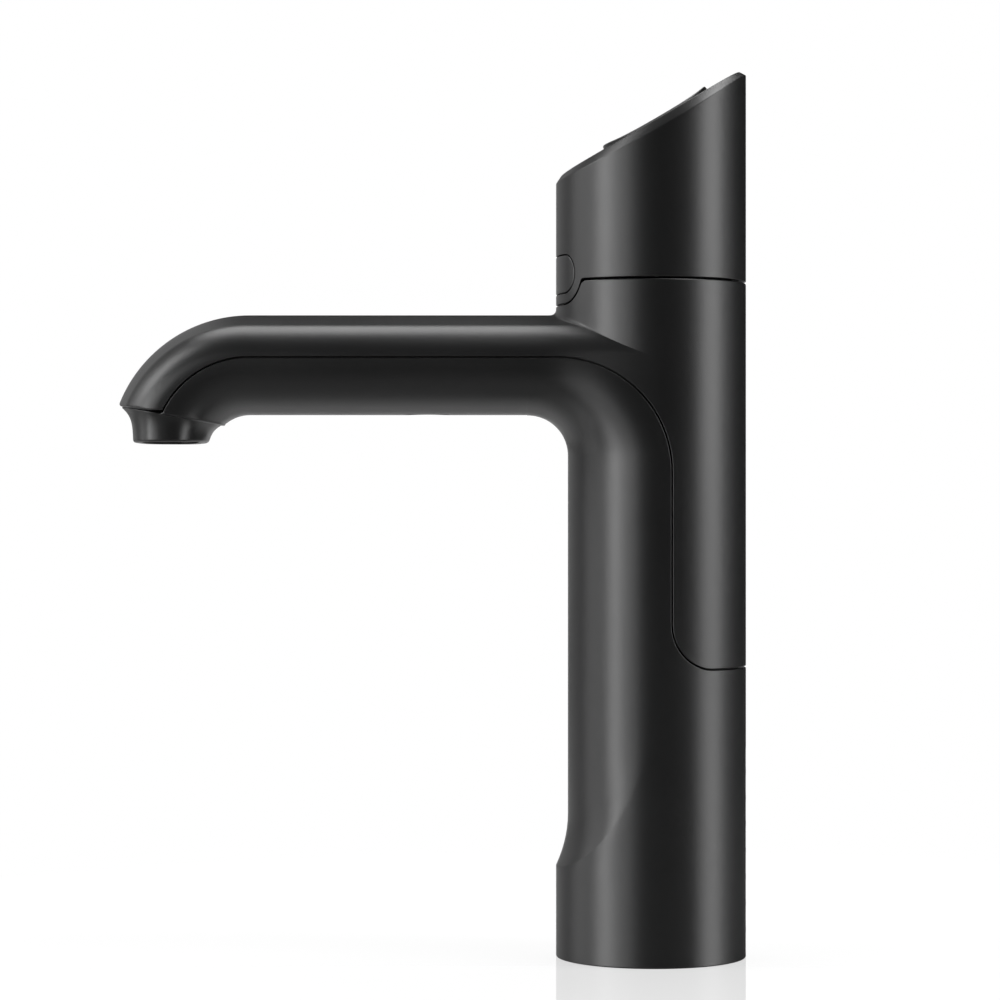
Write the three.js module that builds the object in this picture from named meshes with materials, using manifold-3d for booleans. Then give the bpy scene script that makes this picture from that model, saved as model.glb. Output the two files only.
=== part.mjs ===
// Boiling water tap: a round column with a slanted push-button head, and an arm that bends
// down into a short outlet. Millimetres, +Z up, origin on the column's axis at the worktop.
// The arm points towards -Y and X runs from left to right.
import * as THREE from 'three';
import { mergeVertices } from 'three/addons/utils/BufferGeometryUtils.js';
import Module from 'manifold-3d';

const wasm = await Module();
wasm.setup();

// ---- driving dimensions ----
const gap = 0.3;                // running and seating clearance
const seamGap = 0.5;            // shadow joint between cover, body and head
const wall = 2.4;               // casting and cover wall
const overlap = 0.5;            // how far two joined forms run into each other
const past = 1;                 // how far a cutter runs past what it cuts
const minWall = 2.5;            // material left round a screw or a spout

// column
const columnRadius = 28;
const neckSetback = 3.5;        // how far the neck's front lies behind the base's front
const creaseHeight = 27.1;      // where the neck's flare meets the base at the front
const creaseSlope = 0.15;       // the crease climbs round the sides
const creaseCurve = 0.047;
const flareHeight = 15.3;
const ringHeight = 9.2;         // cover's ring above the arm's top
const ringChamfer = 0.5;

// arm
const armTop = 189.1;
const upperDepth = 13.4;        // arm above its side seam
const lowerDepth = 16;          // arm below its side seam
const armHalfWidth = 25;
const armFlareStart = -32;
const armRootEnd = -2;
const armVoidRoot = -8;         // the arm's hollow opens into the column's here
const boreBlend = 6;            // column's hollow turns round over this, above and below the seam
const armSquareness = 2.5;      // exponent of the lower half's section
const innerFillet = 11.9;       // radius of both inner bends, at the neck and at the tip
const bendStart = -118.4;       // Y of the tip bend's centre
const bendEnd = 76;             // degrees, past the outlet's cut

// side seam
const seamArcRadius = 33.1;
const seamBack = 4.9;           // Y of the upright stretch
const seamCornerRadius = 13;    // at the foot of the back cover
const backSeam = 85.6;
const seamEndShrink = 1.4;      // how fast the seam turns in at the tip, per radian squared

// outlet
const tipReach = 37.7;          // from the bend's centre to the front of the oblique edge
const tipRise = 14.3;
const cutSlope = -0.1739;
const outletDrop = 8.4;         // outlet's mouth below the arm's underside
const outletStep = 3.2;         // mouth's front behind the tip
const outletLength = 22.4;
const outletNarrowing = 2.5;    // each side, against the arm
const outletCorner = 7.5;
const outletWall = 2.3;
const outletEdge = 0.9;
const collarInset = 1.4;        // step between the cover's lower edge and the collar
const collarBackStep = 5;       // the collar's top reaches this far behind the mouth
const collarRise = 1.2;         // and this far above the oblique edge
const collarFlare = [           // height above the mouth, widening, more at the back
  { rise: 3.8, grow: 0.3, back: 0.3 },
  { rise: 6, grow: 0.7, back: 1.9 },
];
const collarHollowRise = 3.8;   // the outlet's hollow ends this far above the tip's edge
const insertRecess = 1.3;
const insertHeight = 6;
const spoutRadius = 5.6;
const spoutBore = 3.6;
const spoutStart = 3.4;         // spout's end and its seal above the mouth
const spoutSealStart = 4;
const spoutSealSize = 1.6;
const insertClearance = 1.9;    // round the spout in the insert
const slotNear = 11;            // two slots in the insert, across the mouth
const slotFar = 16.5;
const slotHalf = 2;

// base
const recessWall = 3.5;
const boreWall = 6;
const plateThickness = 8.7;
const baseBoreTop = 62;
const sealWidth = 2.4;
const sealHeight = 1.5;
const plateScrewRadius = 1.6;
const plateScrewHead = 2.9;
const plateScrewSink = 0.6;
const plateScrewEnd = 4;        // screw's and pilot hole's ends below the boss's top
const platePilotEnd = 3;
const counterboreDepth = 3;
const plateBossRadius = 4.6;
const plateBossTop = 24;
const studHoleRadius = 3.4;
const studFront = 7.5;          // stud holes' middles from the bore's wall
const studRear = 13.5;
const socketRadius = 3;
const socketY = -6.5;
const socketRise = 6;
const socketShoulder = 0.6;

// head
const slopeAngle = Math.atan(0.5825);
const headHeight = 47.2;        // slanted face above the cover's ring, on the axis
const headWall = 2.8;
const headDeck = 2.5;
const facePlateThickness = 2.2;
const faceLand = 3.4;           // rim round the slanted face, chamfer included
const spigotWall = 2;
const spigotDepth = 8;
const headScrewRadius = 1.1;
const headLugRadius = 3.2;
const headScrewHead = 2.4;
const headScrewHeadHeight = 2;
const headScrewEnd = 4;         // screw's and pilot hole's ends below the head's foot
const headPilotEnd = 2;
const lugDepth = 13.5;
const lugHeight = 4;
const wallDrop = { mean: 1.7, swing: 0.4 };     // chamfer round the slanted face
const edgeInset = { mean: 1.65, swing: 0.25 };

// push buttons on the slanted face
const padMargin = 10.6;         // from the column's side to the raised pad
const padCentre = 1.9;          // along the slope
const padRaise = 1.2;
const bezelWidth = 3.4;
const bezelLip = 1.1;
const buttonTravel = 1;
const dividerWidth = 1.6;
const buttonSkirt = 0.9;
const skirtExtra = 1.1;
const markerRadius = 2;
const markerDepth = 0.6;
const capDrop = 0.1;            // button's top below the pad's
const skirtDrop = 0.5;
const domeRadius = 2.6;
const domeHeight = 0.5;
const matSheet = 1;
const matRim = 0.8;
const matRimWidth = 2.2;
const switchHeight = 1.8;
const switchHalf = 3;
const boardThickness = 1.6;
const connectorHeight = 2;
const connectorHalf = [3.5, 2.5];
const traySide = 2.1;
const trayFloor = 1.7;
const trayLedge = 4.4;
const trayFlange = 3.3;
const trayFlangeHeight = 2;
const trayScrewRadius = 0.8;
const trayScrewHead = 1.4;
const trayScrewInset = 1.5;
const trayScrewGrip = 1.6;

// lock button on the head's front
const lockRise = 2.3;           // its middle above the cover's ring
const lockRadius = 5.7;
const lockStraight = 11.5;      // half the straight length, measured round the wall
const lockDepth = 4.3;
const lockLip = 1.2;
const tabBorder = 2.9;
const tabFillet = 1.2;
const plungerRadius = 2;
const plungerReach = 2.4;
const lockPlay = 0.2;           // between plunger and switch with the button in
const lockSwitchDepth = 2.1;
const lockBoardHalf = 11.4;
const lockBoardDrop = 5;
const ribThickness = 2.7;
const ribStart = 1.5;
const ribHeight = 4;

// tubes and leads
const tubeSpread = 9.5;
const tubeY = 5.5;
const armSpread = { boiling: 12, chilled: 13.5, vent: 6.6 };
const ventPlace = [5.9, -3.6];
const boilingTubeRadius = 3.5;
const chilledTubeRadius = 3.5;
const ventTubeRadius = 2.5;
const tubeWall = 1;
const leadRadius = 1.5;
const lockLeadRadius = 1;
const tubeEnd = 1;              // above the worktop
const tubeBend = 15;
const tubeDrop = 1.7;           // tubes below the side seam in the arm
const clampHeight = 118;
const clampThickness = 6;
const clipY = -86;
const clipHalf = 2;
const clipInset = 6.5;
const clipBelow = 7.1;          // clip's edges below and above the tubes
const clipAbove = 6.5;
const clipFootHalf = 5;
const manifoldInset = 8.5;
const manifoldReach = 27.6;     // manifold's front and back past the bend's centre
const manifoldStart = 12.6;
const manifoldFootHalf = 3;
const socketDepth = 9;          // tube sockets in the manifold
const galleryRadius = 1.8;
const galleryAway = 8;
const portSpread = 0.95;        // ports lie this much closer together than the tubes

// underside screw
const plugRadius = 6.5;
const plugThickness = 1.9;
const plugRecess = 0.25;
const plugY = -66;
const coverScrewRadius = 1.4;
const coverSeat = 3.2;
const coverBossWall = 2;

// ---- derived places ----
const radians = THREE.MathUtils.degToRad;
const slope = { cos: Math.cos(slopeAngle), sin: Math.sin(slopeAngle) };
const boreRadius = columnRadius - wall;
const neckFront = columnRadius - neckSetback;
const armSeam = armTop - upperDepth;
const armBottom = armSeam - lowerDepth;
const armRootHalfWidth = columnRadius - 0.1;
const bodyTop = armTop + ringHeight;
const headBottom = bodyTop + seamGap;
const bendHeight = armBottom - innerFillet;
const seamRadius = armSeam - bendHeight;
const filletY = -(neckFront + innerFillet);
const filletZ = armBottom - innerFillet;
const seamArcY = seamBack - seamArcRadius;
const seamArcZ = armSeam - seamArcRadius;
const cutFrontY = bendStart - tipReach;
const cutFrontZ = bendHeight + tipRise;
const outletBottom = armBottom - outletDrop;
const outletFrontY = cutFrontY + outletStep;
const outletBackY = outletFrontY + outletLength;
const outletMidY = (outletFrontY + outletBackY) / 2;
const outletHalfWidth = armHalfWidth - outletNarrowing;
const recessRadius = columnRadius - recessWall;
const baseBoreRadius = columnRadius - boreWall;
const faceHeight = bodyTop + headHeight;
const lockHeight = bodyTop + lockRise;
const tabRadius = lockRadius + tabBorder;
const padRadius = columnRadius - padMargin;
const buttonRadius = padRadius - bezelWidth;
const far = 60;                 // how far a cutter reaches past the tap
const surfaceTolerance = 0.015;

// ---- solids ----
function toSolid(geometry) {
  const bare = new THREE.BufferGeometry();
  bare.setAttribute('position', geometry.getAttribute('position'));
  if (geometry.index) bare.setIndex(geometry.index);
  const merged = mergeVertices(bare, 1e-4);
  const kept = [];
  const index = merged.index.array;
  for (let i = 0; i < index.length; i += 3) {
    const [a, b, c] = [index[i], index[i + 1], index[i + 2]];
    if (a !== b && b !== c && c !== a) kept.push(a, b, c);
  }
  return new wasm.Manifold(new wasm.Mesh({
    numProp: 3,
    vertProperties: new Float32Array(merged.getAttribute('position').array),
    triVerts: new Uint32Array(kept),
  }));
}

function toGeometry(solid) {
  const mesh = solid.simplify(surfaceTolerance).getMesh();
  const geometry = new THREE.BufferGeometry();
  geometry.setAttribute('position', new THREE.BufferAttribute(new Float32Array(mesh.vertProperties), 3));
  geometry.setIndex(new THREE.BufferAttribute(new Uint32Array(mesh.triVerts), 1));
  geometry.computeVertexNormals();
  return geometry;
}

// Skin through closed rings of equal length, with a fan over each end.
function loft(rings) {
  const count = rings[0].length;
  const points = [];
  const faces = [];
  for (const ring of rings) {
    for (const p of ring) points.push(p.x, p.y, p.z);
  }
  for (let k = 0; k + 1 < rings.length; k++) {
    for (let i = 0; i < count; i++) {
      const a = k * count + i;
      const b = k * count + (i + 1) % count;
      faces.push(a, b, b + count, a, b + count, a + count);
    }
  }
  for (const [ring, flip] of [[0, true], [rings.length - 1, false]]) {
    const centre = rings[ring].reduce((sum, p) => sum.add(p), new THREE.Vector3()).divideScalar(count);
    const hub = points.length / 3;
    points.push(centre.x, centre.y, centre.z);
    for (let i = 0; i < count; i++) {
      const a = ring * count + i;
      const b = ring * count + (i + 1) % count;
      faces.push(...(flip ? [hub, b, a] : [hub, a, b]));
    }
  }
  const geometry = new THREE.BufferGeometry();
  geometry.setAttribute('position', new THREE.BufferAttribute(new Float32Array(points), 3));
  geometry.setIndex(faces);
  const solid = toSolid(geometry);
  if (solid.volume() > 0) return solid;
  geometry.setIndex(faces.map((_, i) => faces[i - (i % 3) + 2 - (i % 3)]));
  return toSolid(geometry);
}

function join(...solids) {
  return solids.reduce((sum, solid) => sum.add(solid));
}

function cut(solid, ...tools) {
  return tools.reduce((rest, tool) => rest.subtract(tool), solid);
}

function cylinder(radius, bottom, top, x = 0, y = 0, sides = 24) {
  const geometry = new THREE.CylinderGeometry(radius, radius, top - bottom, sides);
  geometry.rotateX(Math.PI / 2);
  geometry.translate(x, y, (top + bottom) / 2);
  return toSolid(geometry);
}

function box(x0, x1, y0, y1, z0, z1) {
  const geometry = new THREE.BoxGeometry(x1 - x0, y1 - y0, z1 - z0);
  geometry.translate((x0 + x1) / 2, (y0 + y1) / 2, (z0 + z1) / 2);
  return toSolid(geometry);
}

function ringOf(inner, outer, bottom, top, sides = 48) {
  return cut(
    cylinder(outer, bottom, top, 0, 0, sides),
    cylinder(inner, bottom - past, top + past, 0, 0, sides));
}

// A flat outline in X and Y, raised from bottom to top.
function prism(outline, bottom, top) {
  const geometry = new THREE.ExtrudeGeometry(new THREE.Shape(outline), {
    depth: top - bottom, bevelEnabled: false, steps: 1,
  });
  geometry.translate(0, 0, bottom);
  return toSolid(geometry);
}

// An outline drawn in Y and Z, carried from x0 to x1.
function sidePrism(outline, x0, x1) {
  const geometry = new THREE.ExtrudeGeometry(new THREE.Shape(outline), {
    depth: x1 - x0, bevelEnabled: false, steps: 1,
  });
  geometry.applyMatrix4(new THREE.Matrix4().makeBasis(
    new THREE.Vector3(0, 1, 0), new THREE.Vector3(0, 0, 1), new THREE.Vector3(1, 0, 0)));
  geometry.translate(x0, 0, 0);
  return toSolid(geometry);
}

// An outline drawn in X and Z, carried from y0 to y1.
function frontPrism(outline, y0, y1) {
  const geometry = new THREE.ExtrudeGeometry(new THREE.Shape(outline), {
    depth: y1 - y0, bevelEnabled: false, steps: 1,
  });
  geometry.rotateX(Math.PI / 2);
  geometry.translate(0, y1, 0);
  return toSolid(geometry);
}

function lathe(profile, sides = 32) {
  const points = [...profile, profile[0]].map(([r, z]) => new THREE.Vector2(r, z));
  const geometry = new THREE.LatheGeometry(points, sides);
  geometry.rotateX(Math.PI / 2);
  const solid = toSolid(geometry);
  if (solid.volume() > 0) return solid;
  const flipped = geometry.index.array.slice().reverse();
  geometry.setIndex([...flipped]);
  return toSolid(geometry);
}

function circle(radius, x = 0, y = 0, sides = 32) {
  const points = [];
  for (let i = 0; i < sides; i++) {
    const turn = 2 * Math.PI * i / sides;
    points.push(new THREE.Vector2(x + radius * Math.cos(turn), y + radius * Math.sin(turn)));
  }
  return points;
}

function ellipse(halfX, halfY, y = 0, sides = 48) {
  return circle(1, 0, 0, sides).map((p) => new THREE.Vector2(halfX * p.x, y + halfY * p.y));
}

function roundedBox(halfX, y0, y1, corner, steps = 5) {
  const points = [];
  const corners = [[halfX, y1, 0], [-halfX, y1, 90], [-halfX, y0, 180], [halfX, y0, 270]];
  for (const [x, y, start] of corners) {
    for (let i = 0; i <= steps; i++) {
      const turn = radians(start + 90 * i / steps);
      points.push(new THREE.Vector2(
        x - Math.sign(x) * corner + corner * Math.cos(turn),
        y - (y === y1 ? 1 : -1) * corner + corner * Math.sin(turn)));
    }
  }
  return points;
}

// ---- outer form of the tap ----
// Plan section of the column: a circle whose front half may be the neck's set-back ellipse.
function columnRadiusAt(turn, set, inset) {
  const radius = columnRadius - inset;
  if (Math.cos(turn) <= 0) return radius;
  const front = neckFront - inset;
  const neck = 1 / Math.hypot(Math.sin(turn) / radius, Math.cos(turn) / front);
  return radius + (neck - radius) * set;
}

function columnRing(height, set, inset = 0, sides = 48) {
  const ring = [];
  for (let i = 0; i < sides; i++) {
    const turn = 2 * Math.PI * i / sides;
    const radius = columnRadiusAt(turn, typeof set === 'function' ? set(turn) : set, inset);
    const z = typeof height === 'function' ? height(turn) : height;
    ring.push(new THREE.Vector3(radius * Math.sin(turn), -radius * Math.cos(turn), z));
  }
  return ring;
}

function creaseAt(turn) {
  const back = columnRadius * (1 - Math.max(0, Math.cos(turn)));
  return creaseHeight + creaseSlope * back + creaseCurve * back * back;
}

function columnForm() {
  const rings = [columnRing(0, 0)];
  const flareSteps = 5;
  for (let i = 0; i <= flareSteps; i++) {
    const rise = i / flareSteps;
    rings.push(columnRing((turn) => creaseAt(turn) + flareHeight * rise, 1 - (1 - rise) ** 2));
  }
  rings.push(columnRing(filletZ + innerFillet, 1));
  rings.push(columnRing(armSeam, 0));
  rings.push(columnRing(bodyTop - ringChamfer, 0));
  rings.push(columnRing(bodyTop, 0, ringChamfer));
  return loft(rings);
}

// Section of the arm round the seam line: (across, up) pairs, an ellipse above and a squarer one below.
function armSection(halfWidth, inset, steps = 8) {
  const points = [];
  for (let i = 0; i < 4 * steps; i++) {
    const turn = Math.PI * i / (2 * steps);
    const [c, s] = [Math.cos(turn), Math.sin(turn)];
    const power = s < -1e-9 ? 2 / armSquareness : 1;
    const depth = (s < 0 ? lowerDepth : upperDepth) - inset;
    points.push([
      (halfWidth - inset) * Math.sign(c) * Math.abs(c) ** power,
      depth * Math.sign(s) * Math.abs(s) ** power,
    ]);
  }
  return points;
}

function armHalfWidthAt(y) {
  const share = THREE.MathUtils.clamp((y - armFlareStart) / (armRootEnd - armFlareStart), 0, 1);
  return armHalfWidth + (armRootHalfWidth - armHalfWidth) * share;
}

function armForm(inset, rootY) {
  const rings = [];
  for (const y of [rootY, armFlareStart / 2, armFlareStart, bendStart]) {
    rings.push(armSection(armHalfWidthAt(y), inset)
      .map(([across, up]) => new THREE.Vector3(across, y, armSeam + up)));
  }
  const bendSteps = 9;
  for (let i = 1; i <= bendSteps; i++) {
    const turn = radians(bendEnd * i / bendSteps);
    rings.push(armSection(armHalfWidth, inset).map(([across, up]) => new THREE.Vector3(
      across,
      bendStart - (seamRadius + up) * Math.sin(turn),
      bendHeight + (seamRadius + up) * Math.cos(turn))));
  }
  return loft(rings);
}

// Inner corner under the arm: the arm's lower section turns into the neck's front.
function cornerForm() {
  const steps = 8;
  const turns = 7;
  const rings = [];
  for (let k = 0; k <= turns; k++) {
    const turn = Math.PI / 2 * k / turns;
    const share = (1 - Math.cos(2 * turn)) / 2;
    const ring = [];
    for (let i = -steps; i <= steps; i++) {
      const side = Math.sin(Math.PI / 2 * i / steps);
      const down = Math.cos(Math.PI / 2 * i / steps);
      const power = 2 / armSquareness;
      const armX = armHalfWidth * Math.sign(side) * Math.abs(side) ** power;
      const armReach = armSeam - filletZ - lowerDepth * Math.abs(down) ** power;
      const neckX = (columnRadius - 0.05) * side;
      const neckReach = -filletY - neckFront * down;
      const across = armX + (neckX - armX) * share;
      const reach = armReach + (neckReach - armReach) * share;
      ring.push(new THREE.Vector3(
        across, filletY + reach * Math.sin(turn), filletZ + reach * Math.cos(turn)));
    }
    rings.push(ring);
  }
  return loft(rings);
}

// Height of the outlet's oblique edge.
function edgeAt(y) {
  return cutFrontZ + cutSlope * (y - cutFrontY);
}

// Everything above the oblique edge, shifted up by rise.
function aboveCut(rise = 0) {
  return sidePrism([
    new THREE.Vector2(cutFrontY - far, edgeAt(cutFrontY - far) + rise),
    new THREE.Vector2(bendStart, edgeAt(bendStart) + rise),
    new THREE.Vector2(bendStart, -far),
    new THREE.Vector2(far, -far),
    new THREE.Vector2(far, armTop + far),
    new THREE.Vector2(cutFrontY - far, armTop + far),
  ], -far, far);
}

// Side outline of everything that belongs to the cover, grown by offset across the seam.
function coverRegion(offset) {
  const outline = [new THREE.Vector2(cutFrontY - far, edgeAt(cutFrontY - far) - offset)];
  const tip = (turn) => {
    const radius = seamRadius - seamEndShrink * turn * turn - offset;
    return new THREE.Vector2(bendStart - radius * Math.sin(turn), bendHeight + radius * Math.cos(turn));
  };
  let end = 0;                  // where the seam runs into the oblique edge
  while (tip(end).y > edgeAt(tip(end).x) - offset && end < Math.PI / 2) end += 0.005;
  const bendSteps = 8;
  for (let i = bendSteps; i >= 0; i--) outline.push(tip(end * i / bendSteps));
  const arcRadius = armSeam - seamArcZ - offset;
  const arcSteps = 10;
  for (let i = 0; i <= arcSteps; i++) {
    const turn = Math.PI / 2 * i / arcSteps;
    outline.push(new THREE.Vector2(
      seamArcY + arcRadius * Math.sin(turn), seamArcZ + arcRadius * Math.cos(turn)));
  }
  const straightArc = columnRadius * Math.asin((seamArcY + armSeam - seamArcZ) / columnRadius);
  const cornerSteps = 6;
  for (let i = 0; i <= cornerSteps; i++) {
    const turn = Math.PI / 2 * i / cornerSteps;
    const round = straightArc + seamCornerRadius - (seamCornerRadius + offset) * Math.cos(turn);
    outline.push(new THREE.Vector2(
      columnRadius * Math.sin(round / columnRadius),
      backSeam + seamCornerRadius - (seamCornerRadius + offset) * Math.sin(turn)));
  }
  outline.push(new THREE.Vector2(far, backSeam - offset));
  outline.push(new THREE.Vector2(far, bodyTop + far));
  outline.push(new THREE.Vector2(cutFrontY - far, bodyTop + far));
  return sidePrism(outline, -far, far);
}

// Outline in X and Z of a capsule wrapped round the column's front.
function wrappedCapsule(radius, steps = 8) {
  const points = [];
  for (const [side, start] of [[1, -90], [-1, 90]]) {
    for (let i = 0; i <= steps; i++) {
      const turn = radians(start + 180 * i / steps);
      const round = side * lockStraight + radius * Math.cos(turn);
      points.push(new THREE.Vector2(
        columnRadius * Math.sin(round / columnRadius), lockHeight + radius * Math.sin(turn)));
    }
  }
  return points;
}

// The head's tab: the capsule's lower part, widened by small fillets where it meets the joint.
function tabRegion(offset) {
  const capsule = frontPrism(wrappedCapsule(tabRadius + offset), -far, -lockDepth);
  const rise = headBottom - lockHeight;
  const reach = lockStraight + Math.sqrt((tabRadius + offset) ** 2 - rise ** 2);
  const wide = columnRadius * Math.sin((reach + tabFillet) / columnRadius);
  const narrow = columnRadius * Math.sin((reach - tabFillet / 2) / columnRadius);
  const low = headBottom - tabFillet;
  const shoulders = frontPrism([
    new THREE.Vector2(-wide, headBottom + past), new THREE.Vector2(-wide, headBottom - offset),
    new THREE.Vector2(-narrow, low - offset), new THREE.Vector2(narrow, low - offset),
    new THREE.Vector2(wide, headBottom - offset), new THREE.Vector2(wide, headBottom + past),
  ], -far, -lockDepth);
  return join(capsule, shoulders);
}

function tubeAlong(path, radius, bore, steps, sides = 8) {
  const shape = new THREE.Shape(circle(radius, 0, 0, sides));
  if (bore > 0) shape.holes.push(new THREE.Path(circle(bore, 0, 0, sides).reverse()));
  return new THREE.ExtrudeGeometry(shape, { steps, bevelEnabled: false, extrudePath: path });
}

// ---- inner spaces ----
function columnVoid() {
  const lower = join(
    cylinder(recessRadius, -past, plateThickness + gap, 0, 0, 48),
    cylinder(baseBoreRadius, past, baseBoreTop, 0, 0, 40));
  const upper = loft([
    columnRing(baseBoreTop - past, 1, wall), columnRing(armSeam - boreBlend, 1, wall),
    columnRing(armSeam + boreBlend, 0, wall), columnRing(bodyTop + far, 0, wall),
  ]);
  return join(lower, upper);
}

const armVoid = armForm(wall, armVoidRoot).intersect(aboveCut(-past));
const innerSpace = join(columnVoid(), armVoid);
const outerForm = join(columnForm(), armForm(0, armRootEnd).intersect(aboveCut()), cornerForm());

// ---- places shared by several pieces ----
function onCircle(radius, turn, y = 0) {
  return [radius * Math.cos(radians(turn)), y + radius * Math.sin(radians(turn))];
}

const plateScrews = [90, 210, 330].map((turn) => onCircle(
  baseBoreRadius - plateBossRadius + overlap, turn));
const studHoles = [[0, -(baseBoreRadius - studFront)], [0, baseBoreRadius - studRear]];
const headLugs = [148, 32].map((turn) => onCircle(boreRadius - headLugRadius + overlap, turn));
const lugJoint = bodyTop - lugDepth;
const tubes = {
  boiling: { x: -tubeSpread, y: tubeY, armX: -armSpread.boiling, radius: boilingTubeRadius },
  chilled: { x: tubeSpread, y: tubeY, armX: armSpread.chilled, radius: chilledTubeRadius },
  vent: { x: ventPlace[0], y: ventPlace[1], armX: armSpread.vent, radius: ventTubeRadius },
};
const tubeHeight = armSeam - tubeDrop;

// The manifold fills the arm's tip: its corners stay clear of the inner walls.
const manifoldHalf = armHalfWidth - manifoldInset;
const manifoldFront = bendStart - manifoldReach;
const manifoldBack = bendStart - manifoldStart;
const sideShare = manifoldHalf / (armHalfWidth - wall);
const roofReach = seamRadius + (upperDepth - wall) * Math.sqrt(1 - sideShare ** 2);
const floorReach = seamRadius
  - (lowerDepth - wall) * (1 - sideShare ** armSquareness) ** (1 / armSquareness);
const manifoldTop = bendHeight + Math.sqrt(roofReach ** 2 - (manifoldFront - bendStart) ** 2) - gap;
const manifoldBottom = bendHeight + Math.sqrt(floorReach ** 2 - (manifoldBack - bendStart) ** 2) + gap;
const portHeight = (manifoldTop + manifoldBottom) / 2 + tubeWall;

// ---- pieces of the body ----
function collarRing(z, grow, backGrow, inset) {
  return roundedBox(
    outletHalfWidth - inset + grow, outletFrontY + inset - grow,
    outletBackY - inset + grow + backGrow, outletCorner - inset)
    .map((p) => new THREE.Vector3(p.x, p.y, z));
}

// The outlet's collar from its mouth up to just inside the cover's lower edge.
function collarForm() {
  const rings = [
    collarRing(outletBottom, -outletEdge, 0, 0),
    collarRing(outletBottom + outletEdge, 0, 0, 0),
    ...collarFlare.map(({ rise, grow, back }) => collarRing(outletBottom + rise, grow, back, 0)),
  ];
  rings.push(roundedBox(
    armHalfWidth - collarInset, cutFrontY + collarInset + overlap,
    outletBackY + collarBackStep, outletCorner + past)
    .map((p) => new THREE.Vector3(p.x, p.y, edgeAt(p.y) + collarRise)));
  return loft(rings);
}

function collarSpace() {
  return loft([
    collarRing(outletBottom - past, 0, 0, outletWall),
    collarRing(cutFrontZ + collarHollowRise, 0, 0, outletWall),
  ]);
}

const pocketTop = armBottom + plugRecess + plugThickness + gap;
const screwSeat = pocketTop + coverSeat;

function mainBody() {
  const boss = cylinder(plugRadius + minWall, armBottom + past, screwSeat + minWall, 0, plugY);
  const bosses = plateScrews.map(([x, y]) => cylinder(
    plateBossRadius, plateThickness + gap, plateBossTop, x, y)
    .intersect(cylinder(baseBoreRadius + past, 0, far, 0, 0, 40)));
  const pilots = plateScrews.map(([x, y]) => cylinder(
    plateScrewRadius + gap, 0, plateBossTop - platePilotEnd, x, y, 12));
  const lower = cut(outerForm, innerSpace, coverRegion(seamGap / 2));
  const collar = cut(collarForm(), coverRegion(seamGap));
  return cut(
    join(lower, collar, boss, ...bosses),
    collarSpace(),
    cylinder(plugRadius + gap, armBottom - past, pocketTop, 0, plugY),
    cylinder(2 * coverScrewRadius + gap, armBottom, screwSeat, 0, plugY, 16),
    cylinder(coverScrewRadius + gap, armBottom, screwSeat + far, 0, plugY, 12)
      .intersect(box(-far, far, -far - armHalfWidth, far, 0, screwSeat + minWall + past)),
    ...pilots);
}

function rearTopCover() {
  const roof = armTop - wall;
  const shell = cut(outerForm, innerSpace).intersect(coverRegion(-seamGap / 2));
  const boss = cylinder(
    coverScrewRadius + coverBossWall, armSeam + coverBossWall, roof + overlap, 0, plugY, 16);
  const lugs = headLugs.map(([x, y]) => cylinder(
    headLugRadius, lugJoint - lugHeight, lugJoint - gap, x, y, 16)
    .intersect(cylinder(boreRadius + overlap, 0, armTop + far, 0, 0, 40)));
  const holes = headLugs.map(([x, y]) => cylinder(headScrewRadius + gap, 0, lugJoint, x, y, 12));
  const pilot = cylinder(coverScrewRadius + gap, armSeam, roof, 0, plugY, 12);
  return cut(join(shell, boss, ...lugs), ...holes, pilot, tabRegion(seamGap));
}

function basePlate() {
  const top = plateThickness + past;
  const tubeHoles = Object.values(tubes).map(({ x, y, radius }) => cylinder(
    radius + gap, -past, top, x, y, 16));
  const screwHoles = plateScrews.flatMap(([x, y]) => [
    cylinder(plateScrewRadius + gap, -past, top, x, y, 12),
    cylinder(plateScrewHead + gap, -past, counterboreDepth, x, y, 16),
  ]);
  const studs = studHoles.map(([x, y]) => cylinder(studHoleRadius, -past, top, x, y, 14));
  const rebate = ringOf(
    recessRadius - gap - sealWidth - gap, recessRadius + past, -past, sealHeight + gap);
  return cut(
    cylinder(recessRadius - gap, 0, plateThickness, 0, 0, 48),
    ...tubeHoles, ...screwHoles, ...studs, rebate,
    cylinder(socketRadius + gap, -past, top, 0, socketY, 16));
}

function leadSocket() {
  return join(
    cylinder(socketRadius, tubeEnd, plateThickness + past, 0, socketY, 16),
    cylinder(
      socketRadius + socketShoulder, plateThickness + gap, plateThickness + socketRise, 0, socketY, 16));
}

function screw(headRadius, headLow, headHigh, shankRadius, shankTop, x, y) {
  return join(
    cylinder(headRadius, headLow, headHigh, x, y, 14),
    cylinder(shankRadius, headHigh - overlap, shankTop, x, y, 8));
}

// ---- pieces of the head ----
function headForm() {
  const rise = Math.tan(slopeAngle);
  const wallTop = columnRing((turn) => faceHeight - wallDrop.mean
    - (rise * columnRadius - wallDrop.swing) * Math.cos(turn), 0);
  const faceEdge = wallTop.map((_, i) => {
    const turn = 2 * Math.PI * i / wallTop.length;
    const radius = columnRadius - edgeInset.mean + edgeInset.swing * Math.cos(turn);
    const y = -radius * Math.cos(turn);
    return new THREE.Vector3(radius * Math.sin(turn), y, faceHeight + rise * y);
  });
  return loft([columnRing(headBottom, 0), wallTop, faceEdge]);
}

// Turns a solid that is drawn flat on the slanted face into its place.
function onSlope(solid) {
  return solid.rotate([THREE.MathUtils.radToDeg(slopeAngle), 0, 0]).translate([0, 0, faceHeight]);
}

function onSlopePoint(x, y, z) {
  return new THREE.Vector3(x, y * slope.cos - z * slope.sin, faceHeight + y * slope.sin + z * slope.cos);
}

function faceOutline(inset) {
  const radius = columnRadius - faceLand - inset;
  return ellipse(radius, radius / slope.cos);
}

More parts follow.
